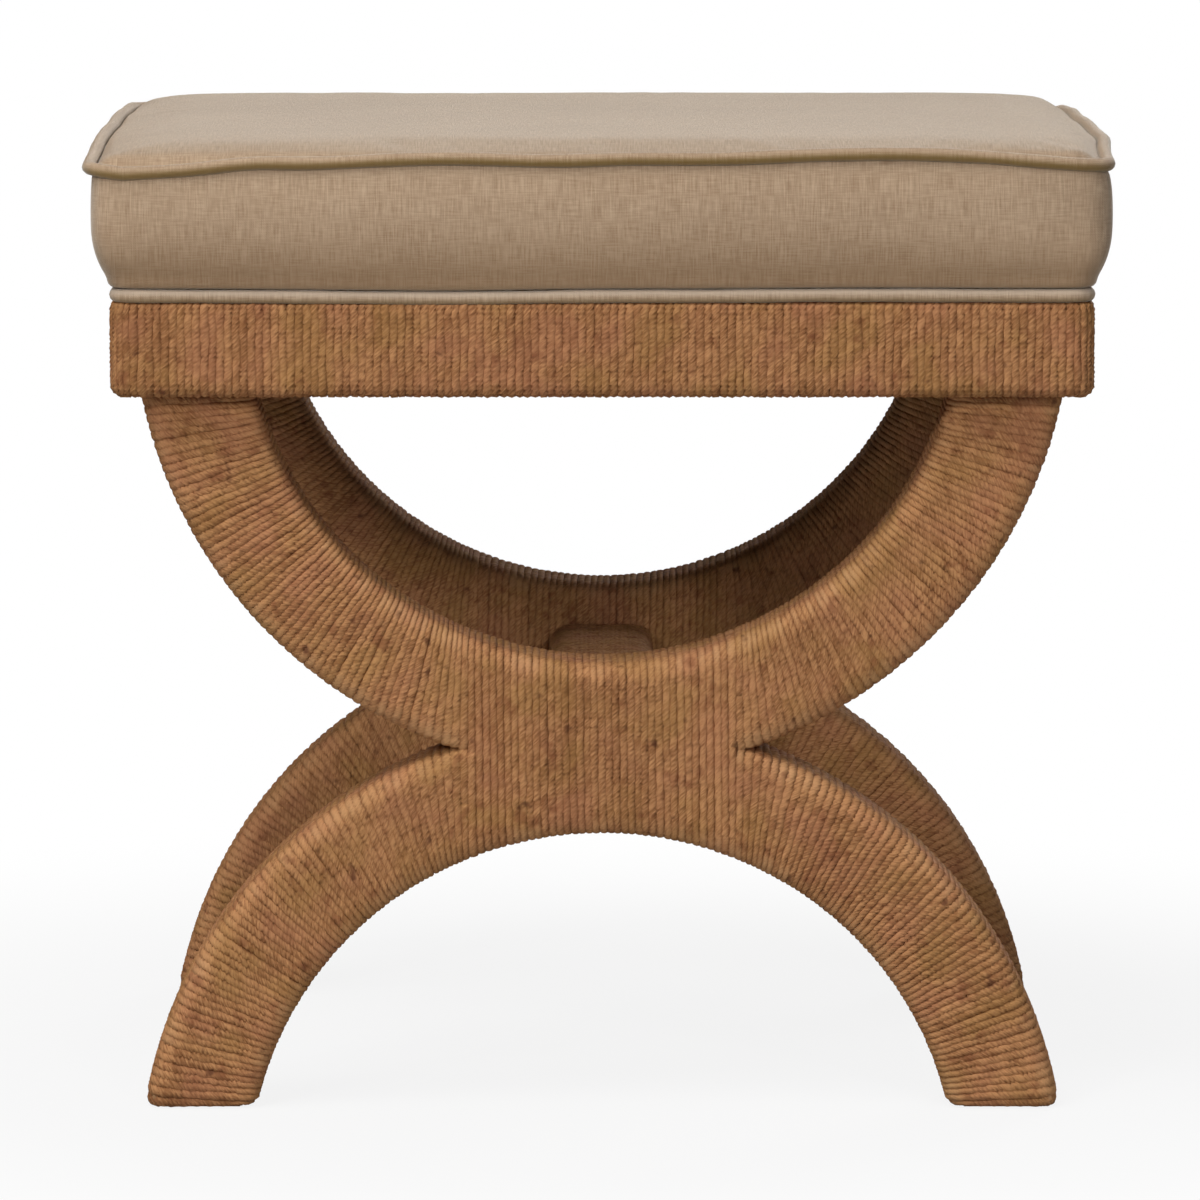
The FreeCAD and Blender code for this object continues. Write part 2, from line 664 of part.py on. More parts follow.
def arm_sections(rise, roll):
    """Sections of one right arm's winding, in the own frame of an arch about its centre.

    The turns stand upright beside the centre panel, lie along the arc's radius further on,
    and end level at the arm's cut end, where they roll in towards the wood.
    """
    cord = size("cord_diameter")
    gap = size("cord_clearance")
    radii = (places.arc_inner_radius - cord, size("arc_outer_radius") + cord)
    middle_radius = sum(radii) / 2
    half_thickness = size("arc_thickness") / 2 + cord
    first = [math.asin((places.panel_half_width + gap) / radius) for radius in radii]
    last = [math.acos((rise + gap) / radius) for radius in radii]
    start = sum(first) / 2
    sweep = sum(last) / 2 - start
    steps = half_steps(middle_radius * sweep, size("cord_pitch"))
    sections = []
    for step in range(steps + 1):
        share = step / steps
        fan = ((first[1] - first[0]) * (1 - share) ** FAN_POWER
               + (last[1] - last[0]) * share ** FAN_POWER) / 2
        angles = (start + sweep * share - fan, start + sweep * share + fan)
        inner, outer = [Vector(radius * math.sin(angle), 0, radius * math.cos(angle))
                        for radius, angle in zip(radii, angles)]
        across = (outer - inner).normalize()
        # In the crotch the winding stops at the level of the joint, so it thins out there.
        if outer.z > places.half_rise - gap:
            outer = inner + across * ((places.half_rise - gap - inner.z) / across.z)
        wall = outer.Length - size("arc_outer_radius")
        to_end = middle_radius * sweep * (1 - share)
        rolled = roll - math.sqrt(roll ** 2 - (roll - to_end) ** 2) if to_end < roll else 0
        inner_groove = max(groove_at(step) * radii[0] / middle_radius, rolled)
        outer_groove = max(groove_at(step) * radii[1] / middle_radius, rolled)
        inner = inner + across * inner_groove
        outer = outer - across * min(outer_groove, max(wall / 2, rolled))
        inner_depth = ALONG_Y * (half_thickness - inner_groove)
        outer_depth = ALONG_Y * (half_thickness - outer_groove)
        sections.append([inner - inner_depth, outer - outer_depth,
                         outer + outer_depth, inner + inner_depth])
    return sections


def core_of(blank, body=None):
    """The wood under a winding, before it was drilled, where its piece stands."""
    core = doc.getObject(blank).Shape.copy()
    if body:
        core.Placement = doc.getObject(body).Placement.multiply(core.Placement)
    return core


def add_arm_windings(level, rise, roll, height, turned_over):
    """The four windings of the upper or the lower arms, from the front right one."""
    sleeve = faceted_sleeve(arm_sections(rise, roll))
    sleeve.Placement = Placement(Vector(0, -places.frame_y, height), turned_over)
    blank = "front_%s_arc_%s" % (level, "foot_edges" if roll else "pad")
    sleeve = sleeve.cut(core_of(blank, "front_%s_arc" % level))
    spots = [("front", "right", 0, 0), ("front", "left", 180, -2 * places.frame_y),
             ("rear", "right", 0, 2 * places.frame_y), ("rear", "left", 180, 0)]
    for end_name, side_name, turn, shift in spots:
        label = "%s_%s_%s_winding" % (end_name, level, side_name)
        keep(add_shape(label, sleeve, turn, Vector(0, shift, 0)))


def centre_winding():
    """Upright turns round the front frame's joint, open behind for the stretcher's end."""
    cord = size("cord_diameter")
    inner = places.arc_inner_radius - cord
    half = places.panel_half_width
    steps = half_steps(2 * half, size("cord_pitch"))
    sections = []
    for step in range(steps + 1):
        x = half * (2 * step / steps - 1)
        groove = groove_at(step)
        front = -places.frame_outer_y - cord + groove
        back = -places.frame_inner_y + cord - groove
        rise = math.sqrt(inner ** 2 - x ** 2)
        top = places.upper_centre_height - rise - groove
        bottom = rise - size("lower_centre_drop") + groove
        sections.append([Vector(x, front, bottom), Vector(x, back, bottom),
                         Vector(x, back, top), Vector(x, front, top)])
    sleeve = ribbed_sleeve(sections)
    sleeve = sleeve.cut(core_of("front_upper_arc_pad", "front_upper_arc"))
    sleeve = sleeve.cut(core_of("front_lower_arc_foot_edges", "front_lower_arc"))
    gap = size("cord_clearance")
    width = size("stretcher_width") + 2 * gap
    height = size("stretcher_height") + 2 * gap
    corner = Vector(-width / 2, -places.frame_inner_y, places.joint_height - height / 2)
    return sleeve.cut(Part.makeBox(width, 2 * cord, height, corner))


def stretcher_winding():
    """Turns round the stretcher, between the windings of the two X frames."""
    cord = size("cord_diameter")
    end = places.frame_inner_y - cord - size("cord_clearance")
    steps = half_steps(2 * end, size("cord_pitch"))
    sections = []
    for step in range(steps + 1):
        y = end * (2 * step / steps - 1)
        x = size("stretcher_width") / 2 + cord - groove_at(step)
        z = size("stretcher_height") / 2 + cord - groove_at(step)
        middle = places.joint_height
        sections.append([Vector(-x, y, middle - z), Vector(x, y, middle - z),
                         Vector(x, y, middle + z), Vector(-x, y, middle + z)])
    return ribbed_sleeve(sections).cut(core_of("stretcher_blank"))


def ribbed_line(start, stop, outward, inset):
    """Valleys and crests along a straight face of the apron, from valley to last crest."""
    steps = half_steps((stop - start).Length, size("apron_pitch"))
    points = []
    for step in range(steps):
        on_face = start + (stop - start) * (step / steps)
        points.append(on_face - outward * (groove_at(step) + inset))
    return points


def ribbed_corner(centre, radius, start, stop, inset):
    """Valleys and crests round a corner of the apron, between two angles in degrees."""
    sweep = math.radians(stop - start)
    steps = half_steps(abs(sweep) * radius, size("apron_pitch"))
    points = []
    for step in range(steps):
        angle = math.radians(start) + sweep * step / steps
        outward = Vector(math.cos(angle), math.sin(angle), 0)
        points.append(centre + outward * (radius - groove_at(step) - inset))
    return points


def apron_levels():
    """Heights and insets of the apron's winding: its lower edge rolls in under the rail."""
    roll = size("apron_roll")
    bottom = places.arm_top_height
    return [(bottom, roll), (bottom + roll, 0), (places.deck_underside, 0)]


def front_rail_winding():
    """Upright turns over the front rail and round its two corners."""
    x = places.apron_face_x
    y = places.apron_face_y
    radius = size("apron_corner_radius") + size("cord_diameter")
    behind = -places.rail_inner_y
    rings = []
    for height, inset in apron_levels():
        level = Vector(0, 0, height)
        ring = ribbed_line(Vector(-x, behind, 0), Vector(-x, radius - y, 0), Vector(-1, 0, 0), inset)
        ring += ribbed_corner(Vector(radius - x, radius - y, 0), radius, 180, 270, inset)
        ring += ribbed_line(Vector(radius - x, -y, 0), Vector(x - radius, -y, 0), Vector(0, -1, 0), inset)
        ring += ribbed_corner(Vector(x - radius, radius - y, 0), radius, 270, 360, inset)
        ring += ribbed_line(Vector(x, radius - y, 0), Vector(x, behind, 0), Vector(1, 0, 0), inset)
        ring.append(Vector(x - size("cord_groove") - inset, behind, 0))
        rings.append([point + level for point in ring])
    return ribbed_sleeve(rings).cut(core_of("front_rail_corners", "front_rail"))


def right_rail_winding():
    """Upright turns over the right rail, between the windings of the front and rear rails."""
    x = places.apron_face_x
    end = places.rail_inner_y - size("cord_clearance")
    rings = []
    for height, inset in apron_levels():
        level = Vector(0, 0, height)
        ring = ribbed_line(Vector(x, -end, 0), Vector(x, end, 0), Vector(1, 0, 0), inset)
        ring.append(Vector(x - size("cord_groove") - inset, end, 0))
        ring.append(Vector(places.rail_inner_x, end, 0))
        ring.append(Vector(places.rail_inner_x, -end, 0))
        rings.append([point + level for point in ring])
    return ribbed_sleeve(rings).cut(core_of("right_rail_blank"))


add_arm_windings("upper", size("arm_rise"), 0, places.upper_centre_height, Rotation(ALONG_X, 180))
add_arm_windings("lower", places.foot_rise, size("foot_roll"), -size("lower_centre_drop"), Rotation())
for label, shape in (("centre_winding", centre_winding()), ("rail_winding", front_rail_winding())):
    for end_name, turn in FRONT_AND_REAR:
        keep(add_shape(end_name + "_" + label, shape, turn))
side_winding = right_rail_winding()
keep(add_shape("right_rail_winding", side_winding))
keep(add_shape("left_rail_winding", side_winding, 180))
keep(add_shape("stretcher_winding", stretcher_winding()))


# Cushion


def rounded_rectangle(half_width, half_depth, radius, height):
    """Closed wire of four lines and four quarter arcs, at one height."""
    edges = []
    corner_signs = [(1, -1), (1, 1), (-1, 1), (-1, -1)]
    ends = []
    for index, (x_sign, y_sign) in enumerate(corner_signs):
        centre = Vector(x_sign * (half_width - radius), y_sign * (half_depth - radius), height)
        arc_points = []
        for share in (0, 0.5, 1):
            angle = math.radians(90 * (index - 1 + share))
            arc_points.append(centre + Vector(math.cos(angle), math.sin(angle), 0) * radius)
        ends.append(arc_points)
    for index, arc_points in enumerate(ends):
        edges.append(Part.Arc(*arc_points).toShape())
        edges.append(Part.LineSegment(arc_points[2], ends[(index + 1) % 4][0]).toShape())
    return Part.Wire(edges)


# Shares of the boxing's height, and of the run of the crown, where their level lines lie.
BOXING_SHARES = (0, 0.125, 0.25, 0.375, 0.5, 0.75, 1)
CROWN_SHARES = (0, 0.2, 0.5, 1)
CROWN_ROUNDING = 0.7


def boxing_draw(share):
    """How far the boxing draws in from its widest line: to the apron below, to the welt above."""
    reach = 2 * share - 1
    return (size("cushion_overhang") if reach < 0 else size("boxing_top_draw")) * reach ** 2


def boxing_wire(share, inset):
    """One level line of the boxing, or of a layer that lies some way inside it."""
    draw = boxing_draw(share) + inset
    height = places.boxing_bottom + share * size("boxing_height")
    return rounded_rectangle(places.bulge_half_width - draw, places.bulge_half_depth - draw,
                             size("cushion_corner_radius") - inset, height)


def panel_edge_inset():
    """From the cushion's widest line in to the edge of its top panel, inside the welt."""
    return 2 * size("welt_radius") + size("cover_clearance") - size("welt_stand")


def crown_wire(share, inset, drop):
    """One level line of the crowned top, rising steeply at its edge and flat in the middle."""
    run = panel_edge_inset() + inset + share * size("crown_run")
    height = places.top_welt_height + size("crown_height") * (1 - (1 - share) ** 2) - drop
    radius = size("cushion_corner_radius") - inset + CROWN_ROUNDING * share * size("crown_run")
    return rounded_rectangle(places.bulge_half_width - run, places.bulge_half_depth - run, radius, height)


def boxing_band():
    """Linen band round the sides: drawn in below, swelling to its middle."""
    outside = Part.makeLoft([boxing_wire(share, 0) for share in BOXING_SHARES], True, True)
    inside = Part.makeLoft([boxing_wire(share, size("cover_thickness")) for share in BOXING_SHARES],
                           True, True)
    return outside.cut(inside)


def top_panel():
    """Linen top, crowned, one layer of cloth."""
    thickness = size("cover_thickness")
    outside = Part.makeLoft([crown_wire(share, 0, 0) for share in CROWN_SHARES], True, True)
    inside = Part.makeLoft([crown_wire(share, thickness, thickness) for share in CROWN_SHARES],
                           True, True)
    return outside.cut(inside)


def foam_core():
    """Foam that fills the boxing and the crown, from the deck up."""
    layer = size("cover_thickness") + size("cover_clearance")
    start = (places.deck_top - places.boxing_bottom) / size("boxing_height")
    stop = 1 - size("foam_edge_drop") / size("boxing_height")
    shares = [start] + [share for share in BOXING_SHARES if start < share < stop] + [stop]
    wires = [boxing_wire(share, layer) for share in shares]
    wires += [crown_wire(share, layer, layer) for share in CROWN_SHARES]
    return Part.makeLoft(wires, True, True)


def welt(half_width, half_depth, corner, height):
    """Round piping along a seam: four bends, each with the straight run that follows it."""
    radius = size("welt_radius")
    straight_x = half_width - corner
    straight_y = half_depth - corner
    runs = []
    for index, (x_sign, y_sign) in enumerate([(1, -1), (1, 1), (-1, 1), (-1, -1)]):
        centre = Vector(x_sign * straight_x, y_sign * straight_y, height)
        turn = Rotation(UPRIGHT, 90 * (index - 1))
        bend = Part.makeTorus(corner, radius, Vector(), UPRIGHT, 0, 360, 90)
        bend.Placement = Placement(centre, turn)
        bend_end = centre + turn.multVec(ALONG_Y * corner)
        length = 2 * (straight_x if index % 2 else straight_y)
        runs += [bend, Part.makeCylinder(radius, length, bend_end, turn.multVec(-ALONG_X))]
    return runs[0].multiFuse(runs[1:]).Solids[0]


top_inset = size("welt_radius") - size("welt_stand")
keep(add_shape("boxing_band", boxing_band()))
keep(add_shape("top_panel", top_panel()))
keep(add_shape("foam_core", foam_core()))
keep(add_shape("top_welt", welt(places.bulge_half_width - top_inset, places.bulge_half_depth - top_inset,
                                size("cushion_corner_radius"), places.top_welt_height)))
keep(add_shape("lower_welt", welt(places.apron_face_x - size("welt_radius"),
                                  places.apron_face_y - size("welt_radius"),
                                  size("cushion_corner_radius") - size("welt_radius"),
                                  places.deck_underside + size("welt_radius"))))
doc.recompute()


# Every piece is sound before any file is written.

for item in doc.Objects:
    if "Invalid" in item.State or "Error" in item.State:
        raise RuntimeError("%s failed: %s" % (item.Label, item.State))
for piece in pieces:
    if piece.Shape.isNull() or not piece.Shape.isValid() or not piece.Shape.Solids:
        raise RuntimeError("%s has no sound shape" % piece.Label)

os.makedirs("parts", exist_ok=True)
for piece in pieces:
    piece.Shape.exportStep(os.path.join("parts", piece.Label + ".step"))
print("%d pieces written" % len(pieces))
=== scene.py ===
# %% [markdown]
# # A cord-wound stool with a linen cushion
# The stool stands on two X frames of bent wood, wound all over with twisted natural cord.
# A cord-wound apron carries a box cushion in linen with a piped seam above and below.
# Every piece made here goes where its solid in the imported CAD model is, in metres. Only the
# cord and the cloth are made again, because they carry the looks.

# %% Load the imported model
import json
import math

import bpy
import numpy as np
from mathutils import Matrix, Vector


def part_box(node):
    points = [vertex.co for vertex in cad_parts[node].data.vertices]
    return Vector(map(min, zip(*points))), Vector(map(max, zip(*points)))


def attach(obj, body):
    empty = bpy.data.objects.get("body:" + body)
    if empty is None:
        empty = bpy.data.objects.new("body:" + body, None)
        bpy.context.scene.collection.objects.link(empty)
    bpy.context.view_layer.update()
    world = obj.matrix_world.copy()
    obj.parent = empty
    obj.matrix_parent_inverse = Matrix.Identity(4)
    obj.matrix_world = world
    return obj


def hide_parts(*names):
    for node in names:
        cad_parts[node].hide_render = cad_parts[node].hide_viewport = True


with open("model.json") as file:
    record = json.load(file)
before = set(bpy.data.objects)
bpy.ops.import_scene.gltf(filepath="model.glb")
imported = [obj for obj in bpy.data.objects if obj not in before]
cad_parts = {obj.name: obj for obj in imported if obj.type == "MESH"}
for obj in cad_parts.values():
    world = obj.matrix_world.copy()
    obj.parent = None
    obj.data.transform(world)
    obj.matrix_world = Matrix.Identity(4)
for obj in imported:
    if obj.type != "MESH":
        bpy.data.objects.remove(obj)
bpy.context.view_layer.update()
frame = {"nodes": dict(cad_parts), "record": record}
nodes = frame["nodes"]
scene = bpy.context.scene


# %% [markdown]
# ## Shader maths as ordinary expressions
# A finish is a small sum: a base colour, lighter and darker fibres, flecks, a groove.
# Wrapping a node's output in a class with operators lets the sum be written as one,
# so `1 - mask` adds a Math node by itself and any other node comes from one method.


# %% A wire between shader nodes
class Wire:
    """One output in a material's nodes. Maths on it adds the Math nodes."""

    def __init__(self, tree, socket=None):
        self.tree = tree
        self.socket = socket

    def node(self, kind, settings, inputs, output=0):
        """Add a node of a kind: its settings first, then the values or links of its sockets."""
        made = self.tree.nodes.new("ShaderNode" + kind)
        for name, value in settings.items():
            setattr(made, name, value)
        for name, value in inputs.items():
            if isinstance(value, Wire):
                self.tree.links.new(value.socket, made.inputs[name])
            else:
                made.inputs[name].default_value = value
        return Wire(self.tree, made.outputs[output])

    def maths(self, operation, first, second=0.0):
        return self.node("Math", {"operation": operation}, {0: first, 1: second})

    def __add__(self, other):
        return self.maths("ADD", self, other)

    def __sub__(self, other):
        return self.maths("SUBTRACT", self, other)

    def __rsub__(self, other):
        return self.maths("SUBTRACT", other, self)

    def __mul__(self, other):
        return self.maths("MULTIPLY", self, other)

    __radd__ = __add__
    __rmul__ = __mul__

    def __gt__(self, other):
        return self.maths("GREATER_THAN", self, other)

    def __abs__(self):
        return self.maths("ABSOLUTE", self)

    def ramp(self, low, high):
        """0 below low, 1 above high, and a smooth step between them."""
        settings = {"interpolation_type": "SMOOTHSTEP"}
        return self.node("MapRange", settings, {"Value": self, "From Min": low, "From Max": high})

    def noise(self, scale, detail=2.0):
        """Noise over this vector, at one scale or stretched by three."""
        scales = scale if isinstance(scale, tuple) else (scale, scale, scale)
        stretched = self.node("VectorMath", {"operation": "MULTIPLY"}, {0: self, 1: scales})
        return self.node("TexNoise", {}, {"Vector": stretched, "Scale": 1.0, "Detail": detail})

    def chosen(self, first, second):
        """From one number to another, by this value."""
        return self.node("Mix", {}, {0: self, 2: first, 3: second})

    def mixed(self, first, second):
        """From one colour to another, by this value."""
        return self.node("Mix", {"data_type": "RGBA"}, {0: self, 6: first, 7: second}, 2)

    def parts(self):
        """The three parts of a vector."""
        return [self.node("SeparateXYZ", {}, {0: self}, index) for index in range(3)]


def colour(red, green, blue):
    """A colour given as 0 to 255 on screen, for a shader's socket."""
    linear = []
    for level in (red / 255, green / 255, blue / 255):
        linear.append(level / 12.92 if level <= 0.04045 else ((level + 0.055) / 1.055) ** 2.4)
    return (*linear, 1.0)


BUMP_STRENGTH = 0.6


def new_finish(name, **sockets):
    """A material, the place on the object as a wire, and a function that links the shader."""
    material = bpy.data.materials.new(name)
    material.use_nodes = True
    tree = material.node_tree
    shader = tree.nodes["Principled BSDF"]
    for socket, value in sockets.items():
        shader.inputs[socket.replace("_", " ")].default_value = value

    def link(base, roughness, height, distance):
        inputs = {"Height": height, "Distance": distance, "Strength": BUMP_STRENGTH}
        bump = base.node("Bump", {}, inputs)
        tree.links.new(base.socket, shader.inputs["Base Color"])
        tree.links.new(roughness.socket, shader.inputs["Roughness"])
        tree.links.new(bump.socket, shader.inputs["Normal"])

    place = Wire(tree).node("TexCoord", {}, {}, "Object")
    return material, place, link


print("shader helpers ready")

# %% [markdown]
# ## Cord finish
# The cord is a twisted plant fibre, straw to mid brown, with flecks of bark and reddish stains.
# A picture would have to be unwrapped over every turn. Instead each turn carries three numbers:
# where a point is along the cord and round it, how far out of the groove it lies, and the tone
# of its length. Noise over the whole stool adds redder and yellower patches, stains and flecks.
# Rounded edges carry a higher tone and turn paler, a painted highlight together with wear.
# The grooves are darkened with painted shade, deeper in some patches.

# %% Make the cord finish
CORD_DARK, CORD_PALE = colour(139, 93, 58), colour(189, 138, 93)
REDDER, YELLOWER = colour(176, 118, 88), colour(160, 122, 68)
# Paler colour of rounded edges: a painted highlight, together with wear.
EDGE_HIGHLIGHT_AND_WEAR = colour(202, 160, 116)
STAINED = colour(116, 64, 42)
BARK = colour(84, 48, 34)
# Colour of the painted shade in the grooves.
GROOVE_SHADE = colour(94, 52, 32)
CORD_SHEEN = colour(176, 122, 76)


def cord_finish():
    """Fibres, patches and flecks; painted shade in the grooves; painted highlight and wear on edges."""
    material, place, link = new_finish("cord", Sheen_Weight=0.05, Sheen_Roughness=0.5,
                                       Sheen_Tint=CORD_SHEEN, Specular_IOR_Level=0.1)
    lay = place.node("Attribute", {"attribute_name": "lay"}, {}, "Vector")
    tone = place.node("Attribute", {"attribute_name": "tone"}, {}, "Fac")
    rise = place.node("Attribute", {"attribute_name": "rise"}, {}, "Fac")
    fibre = lay.noise((2.4, 2.4, 130.0), 3.0)
    speck = lay.noise((2.6, 2.6, 430.0))
    length = lay.noise((0.4, 0.4, 38.0), 1.0)
    patch = place.noise(16.0)
    hue = place.noise(42.0, 1.0)
    stain = place.noise(105.0)
    fleck = place.noise(140.0, 1.0)
    shade_patches = place.noise(260.0)
    light = (fibre - 0.5) * 0.9 + (length - 0.5) * 0.8 + (tone - 0.5) * 0.4
    light = light + (patch - 0.5) * 0.6 + (speck - 0.5) * 1.8
    base = (light + 0.5).ramp(0.0, 1.0).mixed(CORD_DARK, CORD_PALE)
    base = (hue.ramp(0.50, 0.70) * 0.35).mixed(base, REDDER)
    base = ((1 - hue).ramp(0.50, 0.70) * 0.35).mixed(base, YELLOWER)
    # Where the tone is above 1, on rounded edges, the cord turns paler: painted highlight and wear.
    base = ((tone - 1.0).ramp(0.0, 0.8) * 0.4).mixed(base, EDGE_HIGHLIGHT_AND_WEAR)
    base = (stain.ramp(0.59, 0.74) * 0.5).mixed(base, STAINED)
    base = (fleck.ramp(0.68, 0.82) * 0.75).mixed(base, BARK)
    # Painted shade in the grooves, deeper in some patches.
    groove_shade = (1 - rise.ramp(0.5, 0.95)) * (0.05 + 0.30 * shade_patches.ramp(0.32, 0.68))
    base = groove_shade.mixed(base, GROOVE_SHADE)
    roughness = 0.86 - 0.16 * fibre
    link(base, roughness, fibre + speck * 0.8, 0.0005)
    return material


cord = cord_finish()
print("finish:", cord.name)

# %% [markdown]
# ## Linen finish
# The cover is a plain-weave linen: fine warp and weft threads with slubs, the short thick places
# of a hand-spun thread, and a soft bloom at a low angle. The weave follows the cloth, so the
# finish picks the two coordinates that lie in it by the way the surface faces. The boxing is
# browner towards its foot, in painted shade, and faces that look down get painted shade too. The
# strip round the piping has a finish of its own: golden brown painted shade below, and a painted
# highlight on top of the lower welt.

# %% Make the linen finish
LINEN_DARK, LINEN_PALE = colour(150, 124, 98), colour(187, 162, 135)
LINEN_SHEEN = colour(254, 249, 240)
# Painted shade for the boxing's foot and for faces that look down; painted highlight for the lower welt.
LINEN_FOOT_SHADE = colour(144, 106, 66)
PANEL_UNDERSIDE_SHADE, PIPING_UNDERSIDE_SHADE = colour(120, 92, 52), colour(116, 90, 36)
LOWER_WELT_HIGHLIGHT = colour(208, 192, 174)
LOWER_WELT_HEIGHTS = (0.40, 0.44)
FOOT_SHADE_HEIGHTS = (0.392, 0.430)
FOOT_HEIGHTS = (0.394, 0.406)
LEVEL_FACE = 0.8
THREAD_STEP = 0.0011


def linen_finish(name, piping):
    """The cover's cloth, as it is on the panels or folded round the piping."""
    material, place, link = new_finish(name, Sheen_Weight=0.54, Sheen_Roughness=0.45,
                                       Sheen_Tint=LINEN_SHEEN, Specular_IOR_Level=0.15)
    facing = place.node("TexCoord", {}, {}, "Normal")
    x, y, z = place.parts()
    face_x, face_y, face_z = facing.parts()
    on_side = abs(face_x) > abs(face_y)
    on_top = abs(face_z) > LEVEL_FACE
    level = on_top.chosen(on_side.chosen(x, y), x)
    upright = on_top.chosen(z, y)
    cloth = level.node("CombineXYZ", {}, {0: level, 1: upright})
    warp = cloth.noise((1500.0, 90.0, 1.0))
    weft = cloth.noise((110.0, 1500.0, 1.0))
    slub = cloth.noise((900.0, 40.0, 1.0), 0.0).ramp(0.64, 0.80)
    bar = cloth.noise((40.0, 1000.0, 1.0), 0.0).ramp(0.66, 0.82)
    cloud = place.noise(11.0)
    light = (warp - 0.5) * 1.6 + (weft - 0.5) * 1.1 + slub * 0.2 + bar * 0.12
    light = light + (cloud - 0.5) * 0.4
    base = (light + 0.5).ramp(-0.1, 1.1).mixed(LINEN_DARK, LINEN_PALE)
    if piping:
        lower = 1 - z.ramp(*LOWER_WELT_HEIGHTS)
        # Painted highlight on top of the lower welt.
        base = (lower * face_z.ramp(-0.2, 0.6) * 0.45).mixed(base, LOWER_WELT_HIGHLIGHT)
        # Painted shade under the welts, starting lower on the lower welt.
        under = (0 - face_z - lower * 0.72).ramp(-0.8, 0.45) * 0.85
    else:
        # Painted shade: the boxing darkens towards its foot.
        foot_shade = (1 - z.ramp(*FOOT_SHADE_HEIGHTS)) * 0.22 + (1 - z.ramp(*FOOT_HEIGHTS)) * 0.10
        base = foot_shade.mixed(base, LINEN_FOOT_SHADE)
        # Painted shade on faces that look down.
        under = (0 - face_z).ramp(-0.05, 0.85) * 0.4
    # Mix in the painted shade underneath.
    base = under.mixed(base, PIPING_UNDERSIDE_SHADE if piping else PANEL_UNDERSIDE_SHADE)
    thread = 2 * math.pi / THREAD_STEP
    weave = level.maths("SINE", level * thread) * upright.maths("SINE", upright * thread)
    height = weave * 0.5 + warp + weft + slub
    roughness = 0.95 - 0.15 * warp
    link(base, roughness, height, 0.00022)
    return material


linen = linen_finish("linen", False)
piping_linen = linen_finish("piping_linen", True)
print("finishes:", linen.name, piping_linen.name)

# %% [markdown]
# ## Wood, felt, cloth and steel
# Little of the wood shows, and only from below, but it still gets its grain. The felt soles,
# the dust cloth and the screws each get a finish with its own scale of detail.

# %% Make the finishes of the hidden structure
FINE_BUMP = 0.0002


def grain_finish(name, dark, pale, stretch, rings):
    """Wood with its grain stretched along the piece, and growth rings across it."""
    material, place, link = new_finish(name, Specular_IOR_Level=0.3)
    grain = place.noise(stretch, 4.0)
    ring = place.noise(rings, 1.0)
    light = grain * 0.7 + ring * 0.3
    link(light.ramp(0.3, 0.7).mixed(dark, pale), 0.75 - 0.2 * grain, grain, FINE_BUMP)
    return material


def speckled_finish(name, dark, pale, scale, rough, metallic=0.0):
    """Felt, cloth or plate: one colour broken up by a fine speckle."""
    material, place, link = new_finish(name, Specular_IOR_Level=0.3, Metallic=metallic)
    speckle = place.noise(scale, 3.0)
    link(speckle.ramp(0.3, 0.7).mixed(dark, pale), rough - 0.1 * speckle, speckle, FINE_BUMP)
    return material


slot_finish = {
    "frame_wood": grain_finish("frame_wood", colour(120, 84, 52), colour(180, 138, 96),
                               (22.0, 260.0, 90.0), (9.0, 30.0, 30.0)),
    "plywood": grain_finish("plywood", colour(150, 112, 70), colour(204, 168, 120),
                            (14.0, 140.0, 700.0), (6.0, 24.0, 400.0)),
    "felt": speckled_finish("felt", colour(58, 44, 34), colour(92, 72, 56), 900.0, 1.0),
    "dust_cloth": speckled_finish("dust_cloth", colour(26, 25, 25), colour(44, 43, 42), 1500.0, 1.0),
    "screw_steel": speckled_finish("screw_steel", colour(150, 140, 110), colour(196, 190, 170),
                                   500.0, 0.45, metallic=1.0),
    "cord": cord,
    "linen": linen,
}
print("finishes:", sorted(slot_finish))

# %% [markdown]
# ## How a length of cord becomes rings
# Each winding is one length of two-strand cord laid turn beside turn. A bevelled curve would be
# a smooth round tube, but a twisted cord shows slanting dashes where neighbouring turns meet.
# So the section has two lobes and turns as it goes: six points that follow the strands, ring
# after ring. It is a little wider than the step between turns, as they press together.

# %% Sweep a two-strand section along a path
CORD_RADIUS = 0.0017
STRAND_LOBES = np.array([1.0, 0.91, 0.91, 1.0, 0.91, 0.91])
SIDES = len(STRAND_LOBES)
LAY_LENGTH = 0.0125
THICKNESS_VARIES, THICKNESS_RUN = 0.05, 0.018
ANY_TWIST, LAY_SHIFT = 6.28, 50.0
PRESSED_WIDTH = 0.75
dice = np.random.default_rng(11)


def unit(vectors):
    return vectors / np.linalg.norm(vectors, axis=-1, keepdims=True)


def smoothed(share):
    """A share from 0 to 1 that starts and ends gently."""
    return share * share * (3 - 2 * share)


def run_length(points):
    """Distance along a run of points, from its first one."""
    steps = np.linalg.norm(np.diff(points, axis=0), axis=1)
    return np.concatenate([[0.0], np.cumsum(steps)])


def wander(positions, step):
    """Smooth random values between -1 and 1 along increasing positions, one knot each step."""
    reach = (positions - positions.min()) / step
    knots = dice.uniform(-1.0, 1.0, int(reach.max()) + 2)
    low = reach.astype(int)
    share = smoothed(reach - low)
    return knots[low] * (1 - share) + knots[low + 1] * share


